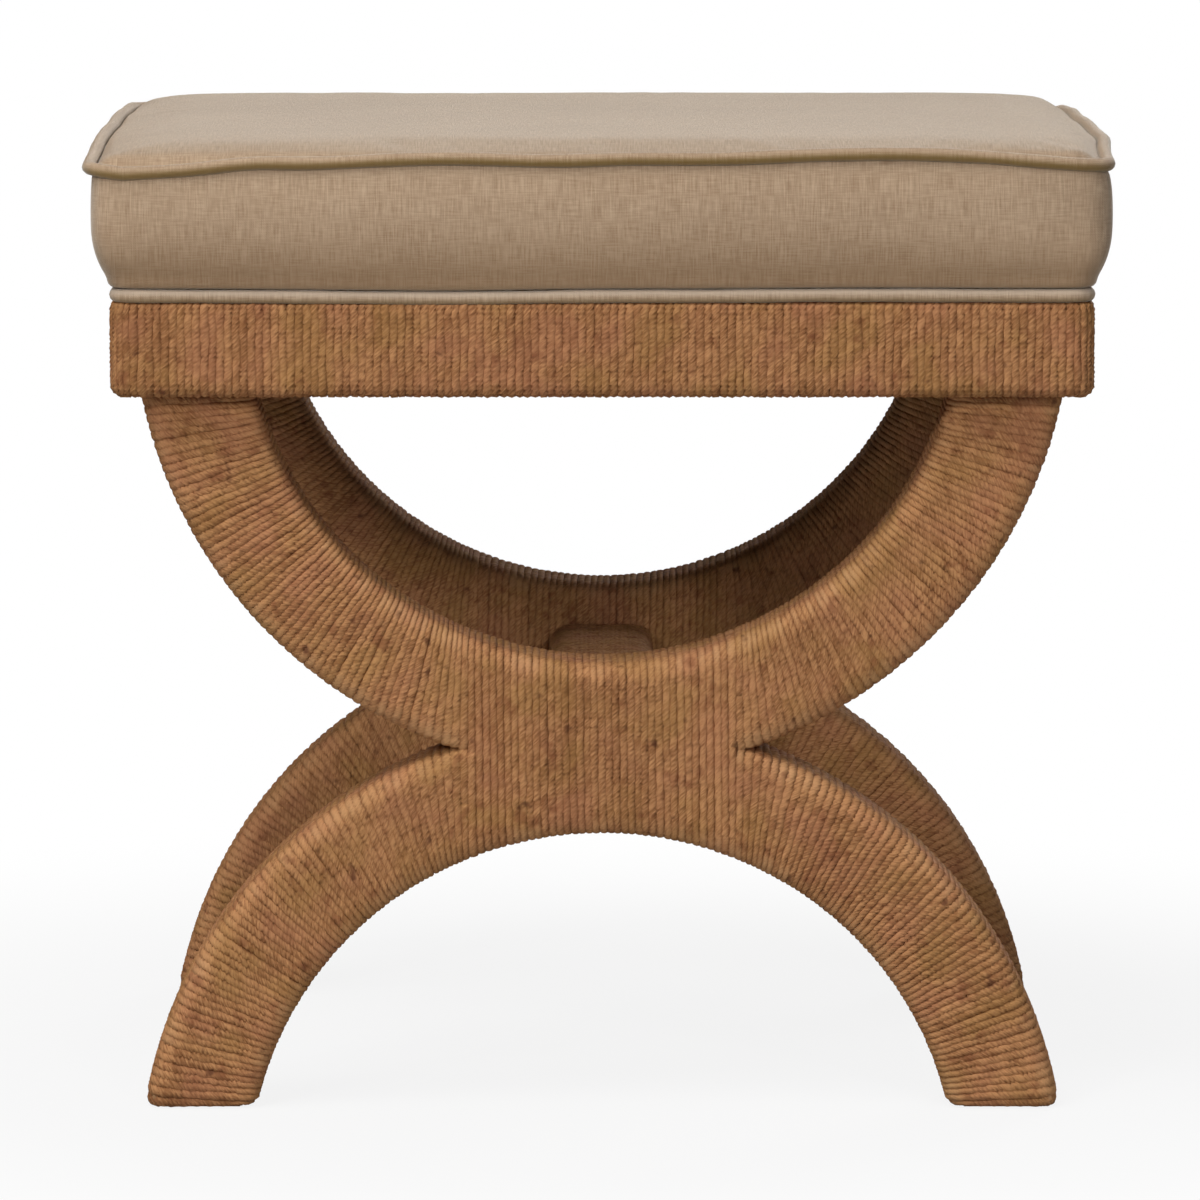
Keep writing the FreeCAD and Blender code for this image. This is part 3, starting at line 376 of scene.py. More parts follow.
def swept_cord(points, outward, half_width, tone):
    """Rings of a twisted cord along a path, with the numbers that its finish reads."""
    along = unit(np.gradient(points, axis=0))
    outward = unit(outward - np.sum(outward * along, axis=1, keepdims=True) * along)
    beside = np.cross(along, outward)
    length = run_length(points)
    strand = 2 * np.pi * np.arange(SIDES) / SIDES
    turned = strand + (2 * np.pi * length / LAY_LENGTH + dice.uniform(0, ANY_TWIST))[:, None]
    thick = (1 + THICKNESS_VARIES * wander(length, THICKNESS_RUN))[:, None] * STRAND_LOBES
    out = np.cos(turned) * CORD_RADIUS * thick
    side = np.sin(turned) * half_width[:, None] * thick
    rings = points[:, None] + out[..., None] * outward[:, None] + side[..., None] * beside[:, None]
    lay = np.empty(rings.shape)
    lay[..., 0] = np.cos(strand)
    lay[..., 1] = np.sin(strand)
    lay[..., 2] = length[:, None] + dice.uniform(0, LAY_SHIFT)
    return rings, lay, np.cos(turned), np.repeat(tone[:, None], SIDES, axis=1)


print("cord section has", SIDES, "sides and turns once in", LAY_LENGTH * 1000, "mm")

# %% [markdown]
# ## From rings to one mesh
# A winding has tens of thousands of points, so its mesh is filled from arrays and not face by
# face. The three numbers go in as attributes, and the surface is laid out flat in rows.

# %% Make a mesh of several lengths of cord
ROW_ASPECT = 5.5
LEAST_ROW = 8
ROW_MARGIN = 0.04


def placed(name, mesh, finish):
    """A smooth mesh as an object of the scene, with its finish."""
    mesh.shade_smooth()
    mesh.materials.append(finish)
    piece = bpy.data.objects.new(name, mesh)
    scene.collection.objects.link(piece)
    return piece


def surface(name, points, faces, finish):
    """An object from lists of points and faces, for the smaller meshes."""
    mesh = bpy.data.meshes.new(name)
    mesh.from_pydata(points, [], faces)
    mesh.update()
    return placed(name, mesh, finish)


def map_turns(mesh, quads, caps):
    """Lay the cord's surface out flat in rows, so that a texture can be drawn on it later."""
    ring = quads[:, 0] // SIDES
    strand = quads[:, 0] % SIDES
    row_rings = max(LEAST_ROW, int(math.sqrt(quads[:, 0].max() / SIDES * ROW_ASPECT)))
    rows = ring.max() // row_rings + 1
    row = ring // row_rings
    left = (ring - row * row_rings) / row_rings
    right = left + 1 / row_rings
    filled = 1 - 2 * ROW_MARGIN
    low = (row + ROW_MARGIN + filled * strand / SIDES) / rows
    high = low + filled / SIDES / rows
    flat = np.stack([left, low, left, high, right, high, right, low], axis=-1).ravel()
    flat = np.concatenate([flat, np.full(caps.size * 2, 0.5 / rows)])
    mesh.uv_layers.new(name="OFBake").data.foreach_set("uv", flat.astype(np.float32))


def cord_piece(node, lengths):
    """One mesh of lengths of cord, each closed at both ends, in place of a CAD winding."""
    rings = np.concatenate([swept[0] for swept in lengths])
    quads = []
    caps = []
    first = 0
    for swept in lengths:
        count = len(swept[0])
        start = first + SIDES * np.arange(count - 1)[:, None]
        ring = start + np.arange(SIDES)
        after = start + (np.arange(SIDES) + 1) % SIDES
        quads.append(np.stack([ring, after, after + SIDES, ring + SIDES], axis=-1).reshape(-1, 4))
        caps.append(first + np.arange(SIDES)[::-1])
        caps.append(first + SIDES * (count - 1) + np.arange(SIDES))
        first += SIDES * count
    quads = np.concatenate(quads)
    caps = np.array(caps)
    mesh = bpy.data.meshes.new(node + "_cord")
    mesh.vertices.add(first)
    mesh.vertices.foreach_set("co", rings.astype(np.float32).ravel())
    corners = np.concatenate([quads.ravel(), caps.ravel()]).astype(np.int32)
    cap_starts = quads.size + SIDES * np.arange(len(caps))
    starts = np.concatenate([4 * np.arange(len(quads)), cap_starts])
    mesh.loops.add(len(corners))
    mesh.loops.foreach_set("vertex_index", corners)
    mesh.polygons.add(len(starts))
    mesh.polygons.foreach_set("loop_start", starts.astype(np.int32))
    mesh.update(calc_edges=True)
    numbers = (("lay", "FLOAT_VECTOR", "vector"), ("rise", "FLOAT", "value"), ("tone", "FLOAT", "value"))
    for index, (attribute, kind, field) in enumerate(numbers, start=1):
        values = np.concatenate([swept[index] for swept in lengths]).astype(np.float32).ravel()
        mesh.attributes.new(attribute, kind, "POINT").data.foreach_set(field, values)
    map_turns(mesh, quads, caps)
    piece = placed(node + "_cord", mesh, cord)
    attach(piece, "root")
    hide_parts(node)
    return piece


print("cord mesh ready")

# %% [markdown]
# ## A turn round a bar
# Every winding goes round something with a rectangular section: an arm, the joint, the
# stretcher. One outline with rounded corners serves them all. Its points are closer together in
# the corners, where the cord bends, and it starts at the middle of the side that shows least.
# The corners are a little fuller than a circle, so that the cord clears the bar's sharp edges.

# %% Outline of one turn
RING_STEP = 0.0022
TURN_CORNER = 0.0090
CORNER_FULLNESS = 0.13
CORNER_STEPS = 6
BEND_DENSITY = 1.8
LEAST_REACH = 0.5


def arc(begin, end, steps):
    """Directions from one angle to another, in degrees, in even steps."""
    ways = np.radians(np.linspace(begin, end, steps + 1))
    return np.column_stack([np.cos(ways), np.sin(ways)])


def fuller(across, deep, amount):
    """Push points of a corner, given from its centre in radii, from the circle towards a square."""
    furthest = np.maximum(np.abs(across), np.abs(deep))
    push = 1 + amount * (1 / np.maximum(furthest, LEAST_REACH) - 1)
    return across * push, deep * push


def turn_outline(half_across, half_deep):
    """Points and outward directions of one turn, their share of the way round, and its rings."""
    bend = TURN_CORNER
    spots = [(0.0, half_deep, 0.0, 1.0)]
    corners = [(1, 1, 90), (1, -1, 0), (-1, -1, -90), (-1, 1, -180)]
    for sign_across, sign_deep, angle in corners:
        centre = (sign_across * (half_across - bend), sign_deep * (half_deep - bend))
        for direction in arc(angle, angle - 90, CORNER_STEPS):
            full = fuller(*direction, CORNER_FULLNESS)
            spots.append((centre[0] + bend * full[0], centre[1] + bend * full[1], *direction))
    spots.append(spots[0])
    spots = np.array(spots)
    gaps = np.linalg.norm(np.diff(spots[:, :2], axis=0), axis=1)
    turning = np.linalg.norm(np.diff(spots[:, 2:], axis=0), axis=1)
    cost = np.concatenate([[0.0], np.cumsum(gaps * np.where(turning > 0.01, BEND_DENSITY, 1.0))])
    rings = int(round(cost[-1] / RING_STEP))
    return spots, cost / cost[-1], rings


def wound_turns(turns, half_across, half_deep):
    """Turn number, and place and direction round the bar, for each ring of a winding.

    It starts half a turn early and ends half a turn late, so both ends of it are closed.
    """
    spots, cost, rings = turn_outline(half_across, half_deep)
    early = rings // 2
    number = np.arange(-early, turns * rings + early + 1) / rings
    fraction = number % 1.0
    across, deep, out_across, out_deep = [np.interp(fraction, cost, column) for column in spots.T]
    return number, across, deep, out_across, out_deep


def stretched(across, nominal, half):
    """Move the flat sides of a turn from a nominal half width to the real one at each ring."""
    flat = nominal - TURN_CORNER
    inside = np.clip(across, -flat, flat)
    return inside * (half - TURN_CORNER) / flat + (across - inside)


print("one turn round an arm has", turn_outline(0.0247, 0.0237)[2], "rings")

# %% [markdown]
# ## The hand that winds
# A hand-wound cord is never quite even. Its turns drift along the bar by a small part of their width,
# its tone changes from turn to turn, and its rounded edges are paler: a painted highlight, with wear.
# The drift and the tone are seeded random values that change smoothly along the cord.

# %% Small errors and tones of a winding
HAND_DRIFT, HAND_JITTER = 0.07, 0.08
JITTER_TURNS = 0.13
STEADY_TURNS = 3
END_GAP = 0.4
TONE, TONE_OF_TURN, TONE_OF_RUN = 0.6, 0.3, 0.2
RUN_TURNS = 7.0
# How much paler rounded edges get: painted highlight and wear.
EDGE_HIGHLIGHT_AND_WEAR_GAIN = 1.3


def uneven(number, turns):
    """Share of the way along a winding for each ring: even steps with the hand's small errors."""
    drift = HAND_DRIFT * wander(number, 1.0) + HAND_JITTER * wander(number, JITTER_TURNS)
    drift = drift * np.clip(np.minimum(number, turns - number) / STEADY_TURNS, 0, 1)
    return np.clip((number + drift) / turns, END_GAP / turns, 1 - END_GAP / turns)


def turn_tone(number):
    """Tone of the cord along a winding, about 0 to 1."""
    return TONE + TONE_OF_TURN * wander(number, 1.0) + TONE_OF_RUN * wander(number, RUN_TURNS)


def edge_highlight_and_wear(out_across, out_deep):
    """How far a ring lies on a rounded edge, painted paler there as a highlight and as wear."""
    return EDGE_HIGHLIGHT_AND_WEAR_GAIN * np.abs(out_across * out_deep)


print("turns drift by up to", HAND_DRIFT + HAND_JITTER, "of a turn")

# %% [markdown]
# ## How the turns fan out on an arm
# The frames are arcs, so the turns fan out: close together on the inside of the bend, apart on
# the outside. Beside the centre panel they stand upright like its own turns, and at the arm's
# cut end they lie level. The same formula shaped the CAD sleeves; here each step of it is a
# turn of cord.

# %% Fan of an arm
INNER_RADIUS, OUTER_RADIUS = 0.1671, 0.2199
PANEL_HALF = 0.06277
CORD_GAP = 0.0002
CORD_PITCH = 0.0034
FAN_POWER = 4
LEAST_HALF_WIDTH, MOST_HALF_WIDTH = 0.0018, 0.0034


def arm_fan(rise):
    """Angles of the turns at the inside and the outside of an arm, by their share of the way."""
    radii = np.array([INNER_RADIUS, OUTER_RADIUS])
    first = np.arcsin((PANEL_HALF + CORD_GAP) / radii)
    last = np.arccos((rise + CORD_GAP) / radii)
    start = first.mean()
    sweep = last.mean() - start

    def angles(share):
        near_panel = (first[1] - first[0]) * (1 - share) ** FAN_POWER
        near_end = (last[1] - last[0]) * share**FAN_POWER
        fan = near_panel + near_end
        middle = start + sweep * share
        return middle - fan / 2, middle + fan / 2

    return angles, sweep * radii.mean()


def fanned_width(angles, share, turns, outside):
    """Half the cord's width at each ring: it fills the step from turn to turn, inside or outside."""
    nudge = 0.5 / turns
    ahead = angles(np.clip(share + nudge, 0, 1))
    back = angles(np.clip(share - nudge, 0, 1))
    pitch_in = INNER_RADIUS * (ahead[0] - back[0])
    pitch_out = OUTER_RADIUS * (ahead[1] - back[1])
    half_width = PRESSED_WIDTH * (pitch_in + (pitch_out - pitch_in) * outside)
    return np.clip(half_width, LEAST_HALF_WIDTH, MOST_HALF_WIDTH)


print("an arm is wound over", round(arm_fan(0.041)[1], 3), "m")

# %% [markdown]
# ## Windings of the eight arms
# One arm is worked out and then turned over, mirrored and moved for the other seven. In the
# crotch, where the upper and lower arcs part, a turn stops at the joint and presses against
# the turn on the other arc, so its corners there are sharper. The lower arms end in soles with
# a rolled edge.

# %% Lay the cord on the arms
UPPER_CENTRE, LOWER_CENTRE = 0.379, -0.037
HALF_RISE = 0.208
FRAME_Y = 0.1595
HALF_DEEP = 0.0237
CROTCH_PRESS = 0.0022
CROTCH_FULLNESS = 0.45
CROTCH_RUN = 0.008
# Height of the cut end from the arc's centre, and radius of its rolled edge.
ARM_ENDS = {"upper": (0.041, 0.0), "lower": (0.0385, 0.0051)}


def pressed_corners(across, deep, nominal, pressed):
    """Sharpen the outer corners of a turn, by an amount for each ring."""
    across_in = (across - nominal) / TURN_CORNER + 1
    deep_in = (np.abs(deep) - HALF_DEEP) / TURN_CORNER + 1
    full_across, full_deep = fuller(across_in, deep_in, pressed)
    in_corner = (across_in > 0) & (deep_in > 0)
    sharp_across = nominal + (full_across - 1) * TURN_CORNER
    sharp_deep = np.sign(deep) * (HALF_DEEP + (full_deep - 1) * TURN_CORNER)
    return np.where(in_corner, sharp_across, across), np.where(in_corner, sharp_deep, deep)


def arm_winding(end, level, side):
    """One arm's winding, as one unbroken length of cord."""
    rise, roll = ARM_ENDS[level]
    angles, reach = arm_fan(rise)
    turns = round(reach / CORD_PITCH)
    nominal = (OUTER_RADIUS - INNER_RADIUS) / 2 - CORD_RADIUS
    number, across, deep, out_across, out_deep = wound_turns(turns, nominal, HALF_DEEP)
    share = uneven(number, turns)
    low_angle, high_angle = angles(share)
    inner = INNER_RADIUS * np.stack([np.sin(low_angle), np.cos(low_angle)], axis=-1)
    outer = OUTER_RADIUS * np.stack([np.sin(high_angle), np.cos(high_angle)], axis=-1)
    way = unit(outer - inner)
    whole = np.linalg.norm(outer - inner, axis=1)
    crotch = np.clip((HALF_RISE + CROTCH_PRESS - inner[:, 1]) / way[:, 1], 0.0, None)
    span = np.minimum(whole, crotch)
    pressed = CROTCH_FULLNESS * np.clip(1 + (whole - crotch) / CROTCH_RUN, 0, 1)
    across, deep = pressed_corners(across, deep, nominal, pressed)
    to_end = reach * (1 - share)
    edge = np.sqrt(np.clip(roll**2 - (roll - to_end) ** 2, 0, None))
    rolled = np.where(to_end < roll, roll - edge, 0)
    half = span / 2 - CORD_RADIUS - rolled
    middle = inner + way * (span / 2)[:, None]
    spot = middle + way * stretched(across, nominal, half)[:, None]
    deep = deep * (HALF_DEEP - rolled) / HALF_DEEP
    behind = 1 if end == "front" else -1
    mirror = 1 if side == "right" else -1
    turned_over = -1 if level == "upper" else 1
    centre = UPPER_CENTRE if level == "upper" else LOWER_CENTRE
    height = spot[:, 1] * turned_over + centre
    points = np.stack([mirror * spot[:, 0], behind * (deep - FRAME_Y), height], axis=-1)
    out_x = mirror * way[:, 0] * out_across
    out_z = turned_over * way[:, 1] * out_across
    outward = np.stack([out_x, out_deep * behind, out_z], axis=-1)
    outside = np.clip(0.5 + across / (2 * nominal), 0, 1)
    half_width = fanned_width(angles, share, turns, outside)
    # The tone also carries the painted highlight and wear of the rounded edges.
    tone = turn_tone(number) + edge_highlight_and_wear(out_across, out_deep)
    swept = swept_cord(points, outward, half_width, tone)
    return cord_piece(f"{end}_{level}_{side}_winding", [swept]), turns


for end in ("front", "rear"):
    for level in ("upper", "lower"):
        for side in ("left", "right"):
            piece, turns = arm_winding(end, level, side)
            print(piece.name, turns, "turns", len(piece.data.polygons), "faces")

# %% [markdown]
# ## Windings of the joints and the stretcher
# At the centre the turns go round both arcs at once and stand upright, so the panel has a
# curved top and bottom edge. The stretcher is a plain bar, wound from frame to frame.

# %% Lay the cord on the joints and the stretcher
JOINT_HEIGHT = 0.171


def centre_winding(end):
    """Upright turns round the joint of one X frame."""
    turns = round(2 * PANEL_HALF / CORD_PITCH)
    radius = INNER_RADIUS + CORD_RADIUS
    nominal = UPPER_CENTRE - radius - JOINT_HEIGHT
    number, across, deep, out_across, out_deep = wound_turns(turns, nominal, HALF_DEEP)
    x = PANEL_HALF * (2 * uneven(number, turns) - 1)
    half = UPPER_CENTRE - np.sqrt(radius**2 - x**2) - JOINT_HEIGHT
    behind = 1 if end == "front" else -1
    height = JOINT_HEIGHT + stretched(across, nominal, half)
    points = np.stack([x, behind * (deep - FRAME_Y), height], axis=-1)
    outward = np.stack([np.zeros(len(x)), behind * out_deep, out_across], axis=-1)
    half_width = np.full(len(x), PRESSED_WIDTH * CORD_PITCH)
    # The tone also carries the painted highlight and wear of the rounded edges.
    tone = turn_tone(number) + edge_highlight_and_wear(out_across, out_deep)
    swept = swept_cord(points, outward, half_width, tone)
    return cord_piece(f"{end}_centre_winding", [swept])


def stretcher_winding():
    """Turns round the bar between the X frames."""
    low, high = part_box("stretcher_winding")
    run = high.y - low.y
    turns = round(run / CORD_PITCH)
    half_across = high.x - CORD_RADIUS
    half_deep = (high.z - low.z) / 2 - CORD_RADIUS
    number, across, deep, out_across, out_deep = wound_turns(turns, half_across, half_deep)
    y = low.y + run * uneven(number, turns)
    points = np.stack([across, y, JOINT_HEIGHT - deep], axis=-1)
    outward = np.stack([out_across, np.zeros(len(y)), -out_deep], axis=-1)
    half_width = np.full(len(y), PRESSED_WIDTH * CORD_PITCH)
    swept = swept_cord(points, outward, half_width, turn_tone(number))
    return cord_piece("stretcher_winding", [swept])


for piece in (centre_winding("front"), centre_winding("rear"), stretcher_winding()):
    print(piece.name, len(piece.data.polygons), "faces")

# %% [markdown]
# ## Path of the cord on the apron
# On the seat rails the cord runs up and down: under the lower edge, up the face and over the
# top, where the cushion hides it. Each turn is a short length of its own, so one section of the
# rail and one outline of the apron seen from above give all of them.

# %% Section and outline of the apron
APRON_PITCH = 0.00365
PITCH_VARIES = 0.05
APRON_CORNER = 0.0104
RAIL_DEPTH = 0.0225
LOWER_BEND, UPPER_BEND = 0.0042, 0.0026
LOWER_BEND_STEPS, UPPER_BEND_STEPS = 6, 4
TOP_TUCK = 0.0085
apron_low, apron_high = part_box("front_rail_winding")
APRON_X = apron_high.x
APRON_Y = -apron_low.y
APRON_BOTTOM, APRON_TOP = apron_low.z, apron_high.z
SIDE_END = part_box("right_rail_winding")[1].y


def apron_section():
    """Path of one apron cord: depth behind the face and height, from under the rail to its top."""
    low = APRON_BOTTOM + CORD_RADIUS
    high = APRON_TOP - CORD_RADIUS
    bends = ((LOWER_BEND, low + LOWER_BEND, 270, LOWER_BEND_STEPS),
             (UPPER_BEND, high - UPPER_BEND, 180, UPPER_BEND_STEPS))
    spots = [(RAIL_DEPTH, low, 0.0, -1.0)]
    for bend, centre, begin, steps in bends:
        for inward, upward in arc(begin, begin - 90, steps):
            depth = CORD_RADIUS + bend + bend * inward
            spots.append((depth, centre + bend * upward, inward, upward))
    spots.append((TOP_TUCK, high, 0.0, 1.0))
    spots = np.array(spots)
    place = run_length(spots[:, :2])
    rings = int(place[-1] / RING_STEP) + 1
    even = np.linspace(0, place[-1], rings)
    return [np.interp(even, place, column) for column in spots.T], even


def apron_outline(spots):
    """Foot points and outward directions along a run of the apron's face."""
    spots = np.array(spots)
    place = run_length(spots[:, :2])
    count = round(place[-1] / APRON_PITCH)
    shifts = dice.uniform(-PITCH_VARIES, PITCH_VARIES, count)
    even = (np.arange(count) + 0.5 + shifts) / count * place[-1]
    return [np.interp(even, place, column) for column in spots.T]


def front_run():
    """Outline of the front rail's winding, from the left side round both corners to the right."""
    x, y, bend = APRON_X, APRON_Y, APRON_CORNER
    spots = [(-x, -SIDE_END, -1.0, 0.0)]
    for centre_x, begin in ((-x + bend, 180), (x - bend, 270)):
        for out_x, out_y in arc(begin, begin + 90, CORNER_STEPS):
            spots.append((centre_x + bend * out_x, -y + bend + bend * out_y, out_x, out_y))
    spots.append((x, -SIDE_END, 1.0, 0.0))
    return spots


print("one apron cord has", len(apron_section()[1]), "rings")

# %% [markdown]
# ## Cord on the apron
# No turn stands quite upright, so each one gets its own small slant and waver. Round the
# corners of the apron the turns share one centre, so they get thinner towards it and stop
# short of it.

# %% Lay the cord on the apron
SLANT, SLANT_HEIGHT = 0.00015, 0.02
WAVER, WAVER_RUN = 0.00016, 0.014
HEIGHT_VARIES = 0.00012
CORNER_STOP = 0.0012
THINNEST = 0.2
LEAST_STEP = 0.0004


def apron_winding(node, spots):
    """Upright cords along one rail, from a run of outline points."""
    (depth, height, out_depth, out_height), even = apron_section()
    lengths = []
    for x, y, out_x, out_y in zip(*apron_outline(spots)):
        outward_xy = np.array([out_x, out_y]) / math.hypot(out_x, out_y)
        beside = np.array([-outward_xy[1], outward_xy[0]])
        in_corner = abs(out_x * out_y) > 0.01
        slant = dice.uniform(-SLANT, SLANT) * (height - height.mean()) / SLANT_HEIGHT
        shift = slant + WAVER * wander(even, WAVER_RUN)
        back = np.minimum(depth, APRON_CORNER - CORNER_STOP) if in_corner else depth
        flat = np.array([x, y]) - back[:, None] * outward_xy + shift[:, None] * beside
        points = np.column_stack([flat, height + dice.uniform(-HEIGHT_VARIES, HEIGHT_VARIES)])
        # The section's directions point back into the rail, so the depth part is turned round.
        outward = np.column_stack([-out_depth[:, None] * outward_xy, out_height])
        half_width = np.full(len(even), PRESSED_WIDTH * APRON_PITCH)
        if in_corner:
            half_width = half_width * np.clip(1 - back / APRON_CORNER, THINNEST, 1.0)
        tone = np.full(len(even), dice.uniform(0.2, 0.8))
        keep = np.concatenate([[True], np.diff(run_length(points)) > LEAST_STEP])
        lengths.append(swept_cord(points[keep], outward[keep], half_width[keep], tone[keep]))
    return cord_piece(node, lengths)


front = front_run()
rear = [(-x, -y, -out_x, -out_y) for x, y, out_x, out_y in front]
right = [(APRON_X, -SIDE_END, 1.0, 0.0), (APRON_X, SIDE_END, 1.0, 0.0)]
left = [(-APRON_X, SIDE_END, -1.0, 0.0), (-APRON_X, -SIDE_END, -1.0, 0.0)]
for node, spots in (("front_rail_winding", front), ("rear_rail_winding", rear),
                    ("right_rail_winding", right), ("left_rail_winding", left)):
    piece = apron_winding(node, spots)
    print(piece.name, len(piece.data.polygons), "faces")

# %% [markdown]
# ## The cushion's seams
# A box cushion is a foam block in a sewn cover: a top panel, a band round the sides and piping
# in the seams. The stitching pulls the corners down and the seams are never quite straight, and
# a used cushion isn't the same at its four corners. Functions of the place give each seam its
# rise, so that the panels and the piping follow the same line.

# %% Lines of the seams
SEGMENTS_X, SEGMENTS_Y = 104, 90
AROUND = 2 * (SEGMENTS_X + SEGMENTS_Y)
BULGE_X, BULGE_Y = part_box("boxing_band")[1].x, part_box("boxing_band")[1].y
BOXING_LOW, BOXING_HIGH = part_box("boxing_band")[0].z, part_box("boxing_band")[1].z
SEAM_HEIGHT = 0.450
SEAM_RISE = 0.0022
SEAM_DROP = 0.0036
CORNER_PULL = 0.0032
FRONT_LEFT_RUN, REAR_RIGHT_RUN = (0.35, 0.80), (0.60, 0.95)
TIP_UPTURN, TIP_RUN = 0.8, (0.222, 0.236)
FRONT_RUN = (0.6, 0.9)
FRONT_SAG = 0.0021
RIGHT_END_DROP, RIGHT_END_RUN = 0.0007, (0.19, 0.22)
# Height, middle and width of each hump or sag.
FRONT_HUMPS = ((0.0039, 0.147, 0.058), (0.0018, -0.164, 0.022))
LOWER_SAGS = ((0.0012, -0.09, 0.10),)
# Height, number round the cushion and shift of each ripple.
SEAM_RIPPLES = ((0.00035, 9, 0.8), (0.0003, 17, 2.1))
LOWER_RIPPLES = ((0.00015, 11, 0.4),)


def slope(values, low, high):
    """0 below low, 1 above high, and an even slope between them."""
    return np.clip((values - low) / (high - low), 0, 1)


def hill(values, middle, width):
    """A smooth hump, 1 at its middle."""
    return np.exp(-(((values - middle) / width) ** 2))


def outline(inset, corner):
    """A ring of points round the cushion, some way inside its widest line."""
    half_x, half_y = BULGE_X - inset, BULGE_Y - inset
    sides = []
    for quarter, (segments, run) in enumerate(((SEGMENTS_X, half_x), (SEGMENTS_Y, half_y)) * 2):
        eighth = corner * math.pi / 4
        total = 2 * eighth + 2 * (run - corner)
        place = np.arange(segments) / segments * total
        turn = np.clip(place / corner, 0, math.pi / 4)
        turn = turn + np.clip((place - total + eighth) / corner, 0, None)
        line = np.clip(place - eighth, 0, 2 * (run - corner)) - (run - corner)
        way = math.radians(225 + 90 * quarter) + turn
        beside = math.radians(90 * quarter)
        cross = half_y if quarter % 2 == 0 else half_x
        centre_x = line * math.cos(beside) + (cross - corner) * math.sin(beside)
        centre_y = line * math.sin(beside) - (cross - corner) * math.cos(beside)
        sides.append(np.column_stack([centre_x + corner * np.cos(way), centre_y + corner * np.sin(way)]))
    return np.concatenate(sides)


def corner_share(points):
    """0 along the middle lines of the cushion, 1 in its corners."""
    return np.minimum(np.abs(points[:, 0]) / BULGE_X, np.abs(points[:, 1]) / BULGE_Y)


def at_front(points):
    """1 along the front of the cushion, falling to 0 on its sides."""
    return slope(-points[:, 1] / BULGE_Y, *FRONT_RUN)


def rippled(points, ripples):
    """Small waves round the cushion."""
    angle = np.arctan2(points[:, 1], points[:, 0])
    return sum(height * np.sin(number * angle + shift) for height, number, shift in ripples)


def humped(points, humps):
    """Humps along the front."""
    return sum(height * hill(points[:, 0], middle, width) for height, middle, width in humps)


def seam_lift(points):
    """Rise of the top seam: pulled down at the corners, a little uneven between them."""
    x, y = points.T
    share = corner_share(points)
    # The front left corner is pulled down along a long run, and its very tip turns up again.
    tip = TIP_UPTURN * slope(-x, *TIP_RUN) * at_front(points)
    front_left = ((x < 0) & (y < 0)) * smoothed(slope(share, *FRONT_LEFT_RUN)) * (1 - tip)
    rear_right = ((x > 0) & (y > 0)) * slope(share, *REAR_RIGHT_RUN) ** 2
    pulled = SEAM_DROP * share**3 + CORNER_PULL * (front_left + rear_right)
    # The front seam sags a little between a hump on the right and a small one on the left.
    front = humped(points, FRONT_HUMPS) - FRONT_SAG - RIGHT_END_DROP * slope(x, *RIGHT_END_RUN)
    return SEAM_RISE - pulled + rippled(points, SEAM_RIPPLES) + front * at_front(points)


def lower_lift(points):
    """Rise of the lower seam, which sags in front, a little left of the middle."""
    return rippled(points, LOWER_RIPPLES) - humped(points, LOWER_SAGS) * at_front(points)


print("cushion rings have", AROUND, "points")

# %% [markdown]
# ## The cushion's shape
# The cover is tight, so it crowns on top and swells between its seams. On the right its upper
# corners are drawn in and the front one is rounder, as in the photograph. The cover is made of
# level rings from the deck up to the top seam, and grids of points fill the top and bottom.

# %% Rings, top panel and drawn-in corners
CUSHION_CORNER = 0.012
TOP_CORNER = 0.011
DECK_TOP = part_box("seat_deck")[1].z
DECK_CORNER = 0.007
DECK_CLEARANCE = 0.0008
BAND_LOW, BAND_HIGH = BOXING_LOW - 0.0006, BOXING_HIGH + 0.0004
BAND_STEPS = 14
LOWER_SEAM, BELOW_SEAM, UPPER_SEAM = 0.025, 0.972, 1.0
LOWER_TUCK, LOWER_TUCK_POWER, LOWER_TUCK_LIMIT = 0.0096, 2.2, 0.0072
UPPER_TUCK, UPPER_CURVE = 0.0018, 0.0003
SLACK = 0.0005
CROWN_HEIGHT, CROWN_RUN = 0.0039, 0.034
RIGHT_RUN = 0.4
CROWN_SOFTNESS = 0.22
EDGE_ROLL = 0.0006
EDGE_FADE = 6
FRONT_ROUNDING = 0.0088
ROUND_SIDE, ROUND_FRONT, ROUND_FOOT = 0.050, 0.045, 0.025
ROUND_LEAST = 0.15
REAR_DRAW, FRONT_DRAW, SIDE_DRAW = 0.0065, 0.0058, 0.0038
DRAWN_CORNER, DRAWN_SIDE = (0.50, 0.95), (0.8, 1.0)
SIDE_DRAW_MIDDLE, SIDE_DRAW_WIDTH = 0.07, 0.10


def eased(points):
    """Draw in the right corners of the cover, most at the top, and round the front one more."""
    x, y, z = points.T
    high = slope(z, BOXING_LOW, SEAM_HEIGHT)
    near_side = slope(x, BULGE_X - ROUND_SIDE, BULGE_X)
    near_front = slope(-y, BULGE_Y - ROUND_FRONT, BULGE_Y)
    above_foot = np.maximum(slope(z, BOXING_LOW, BOXING_LOW + ROUND_FOOT), ROUND_LEAST)
    rounding = FRONT_ROUNDING * near_side**2 * near_front * above_foot
    at_corner = np.where(y > 0, REAR_DRAW * high**2, FRONT_DRAW * high**12)
    at_corner = at_corner * slope(corner_share(points), *DRAWN_CORNER) * (x > 0)
    at_side = SIDE_DRAW * hill(y, SIDE_DRAW_MIDDLE, SIDE_DRAW_WIDTH) * high**2
    at_side = at_side * slope(x / BULGE_X, *DRAWN_SIDE)
    return points + np.column_stack([-at_corner - at_side, rounding, np.zeros(len(x))])


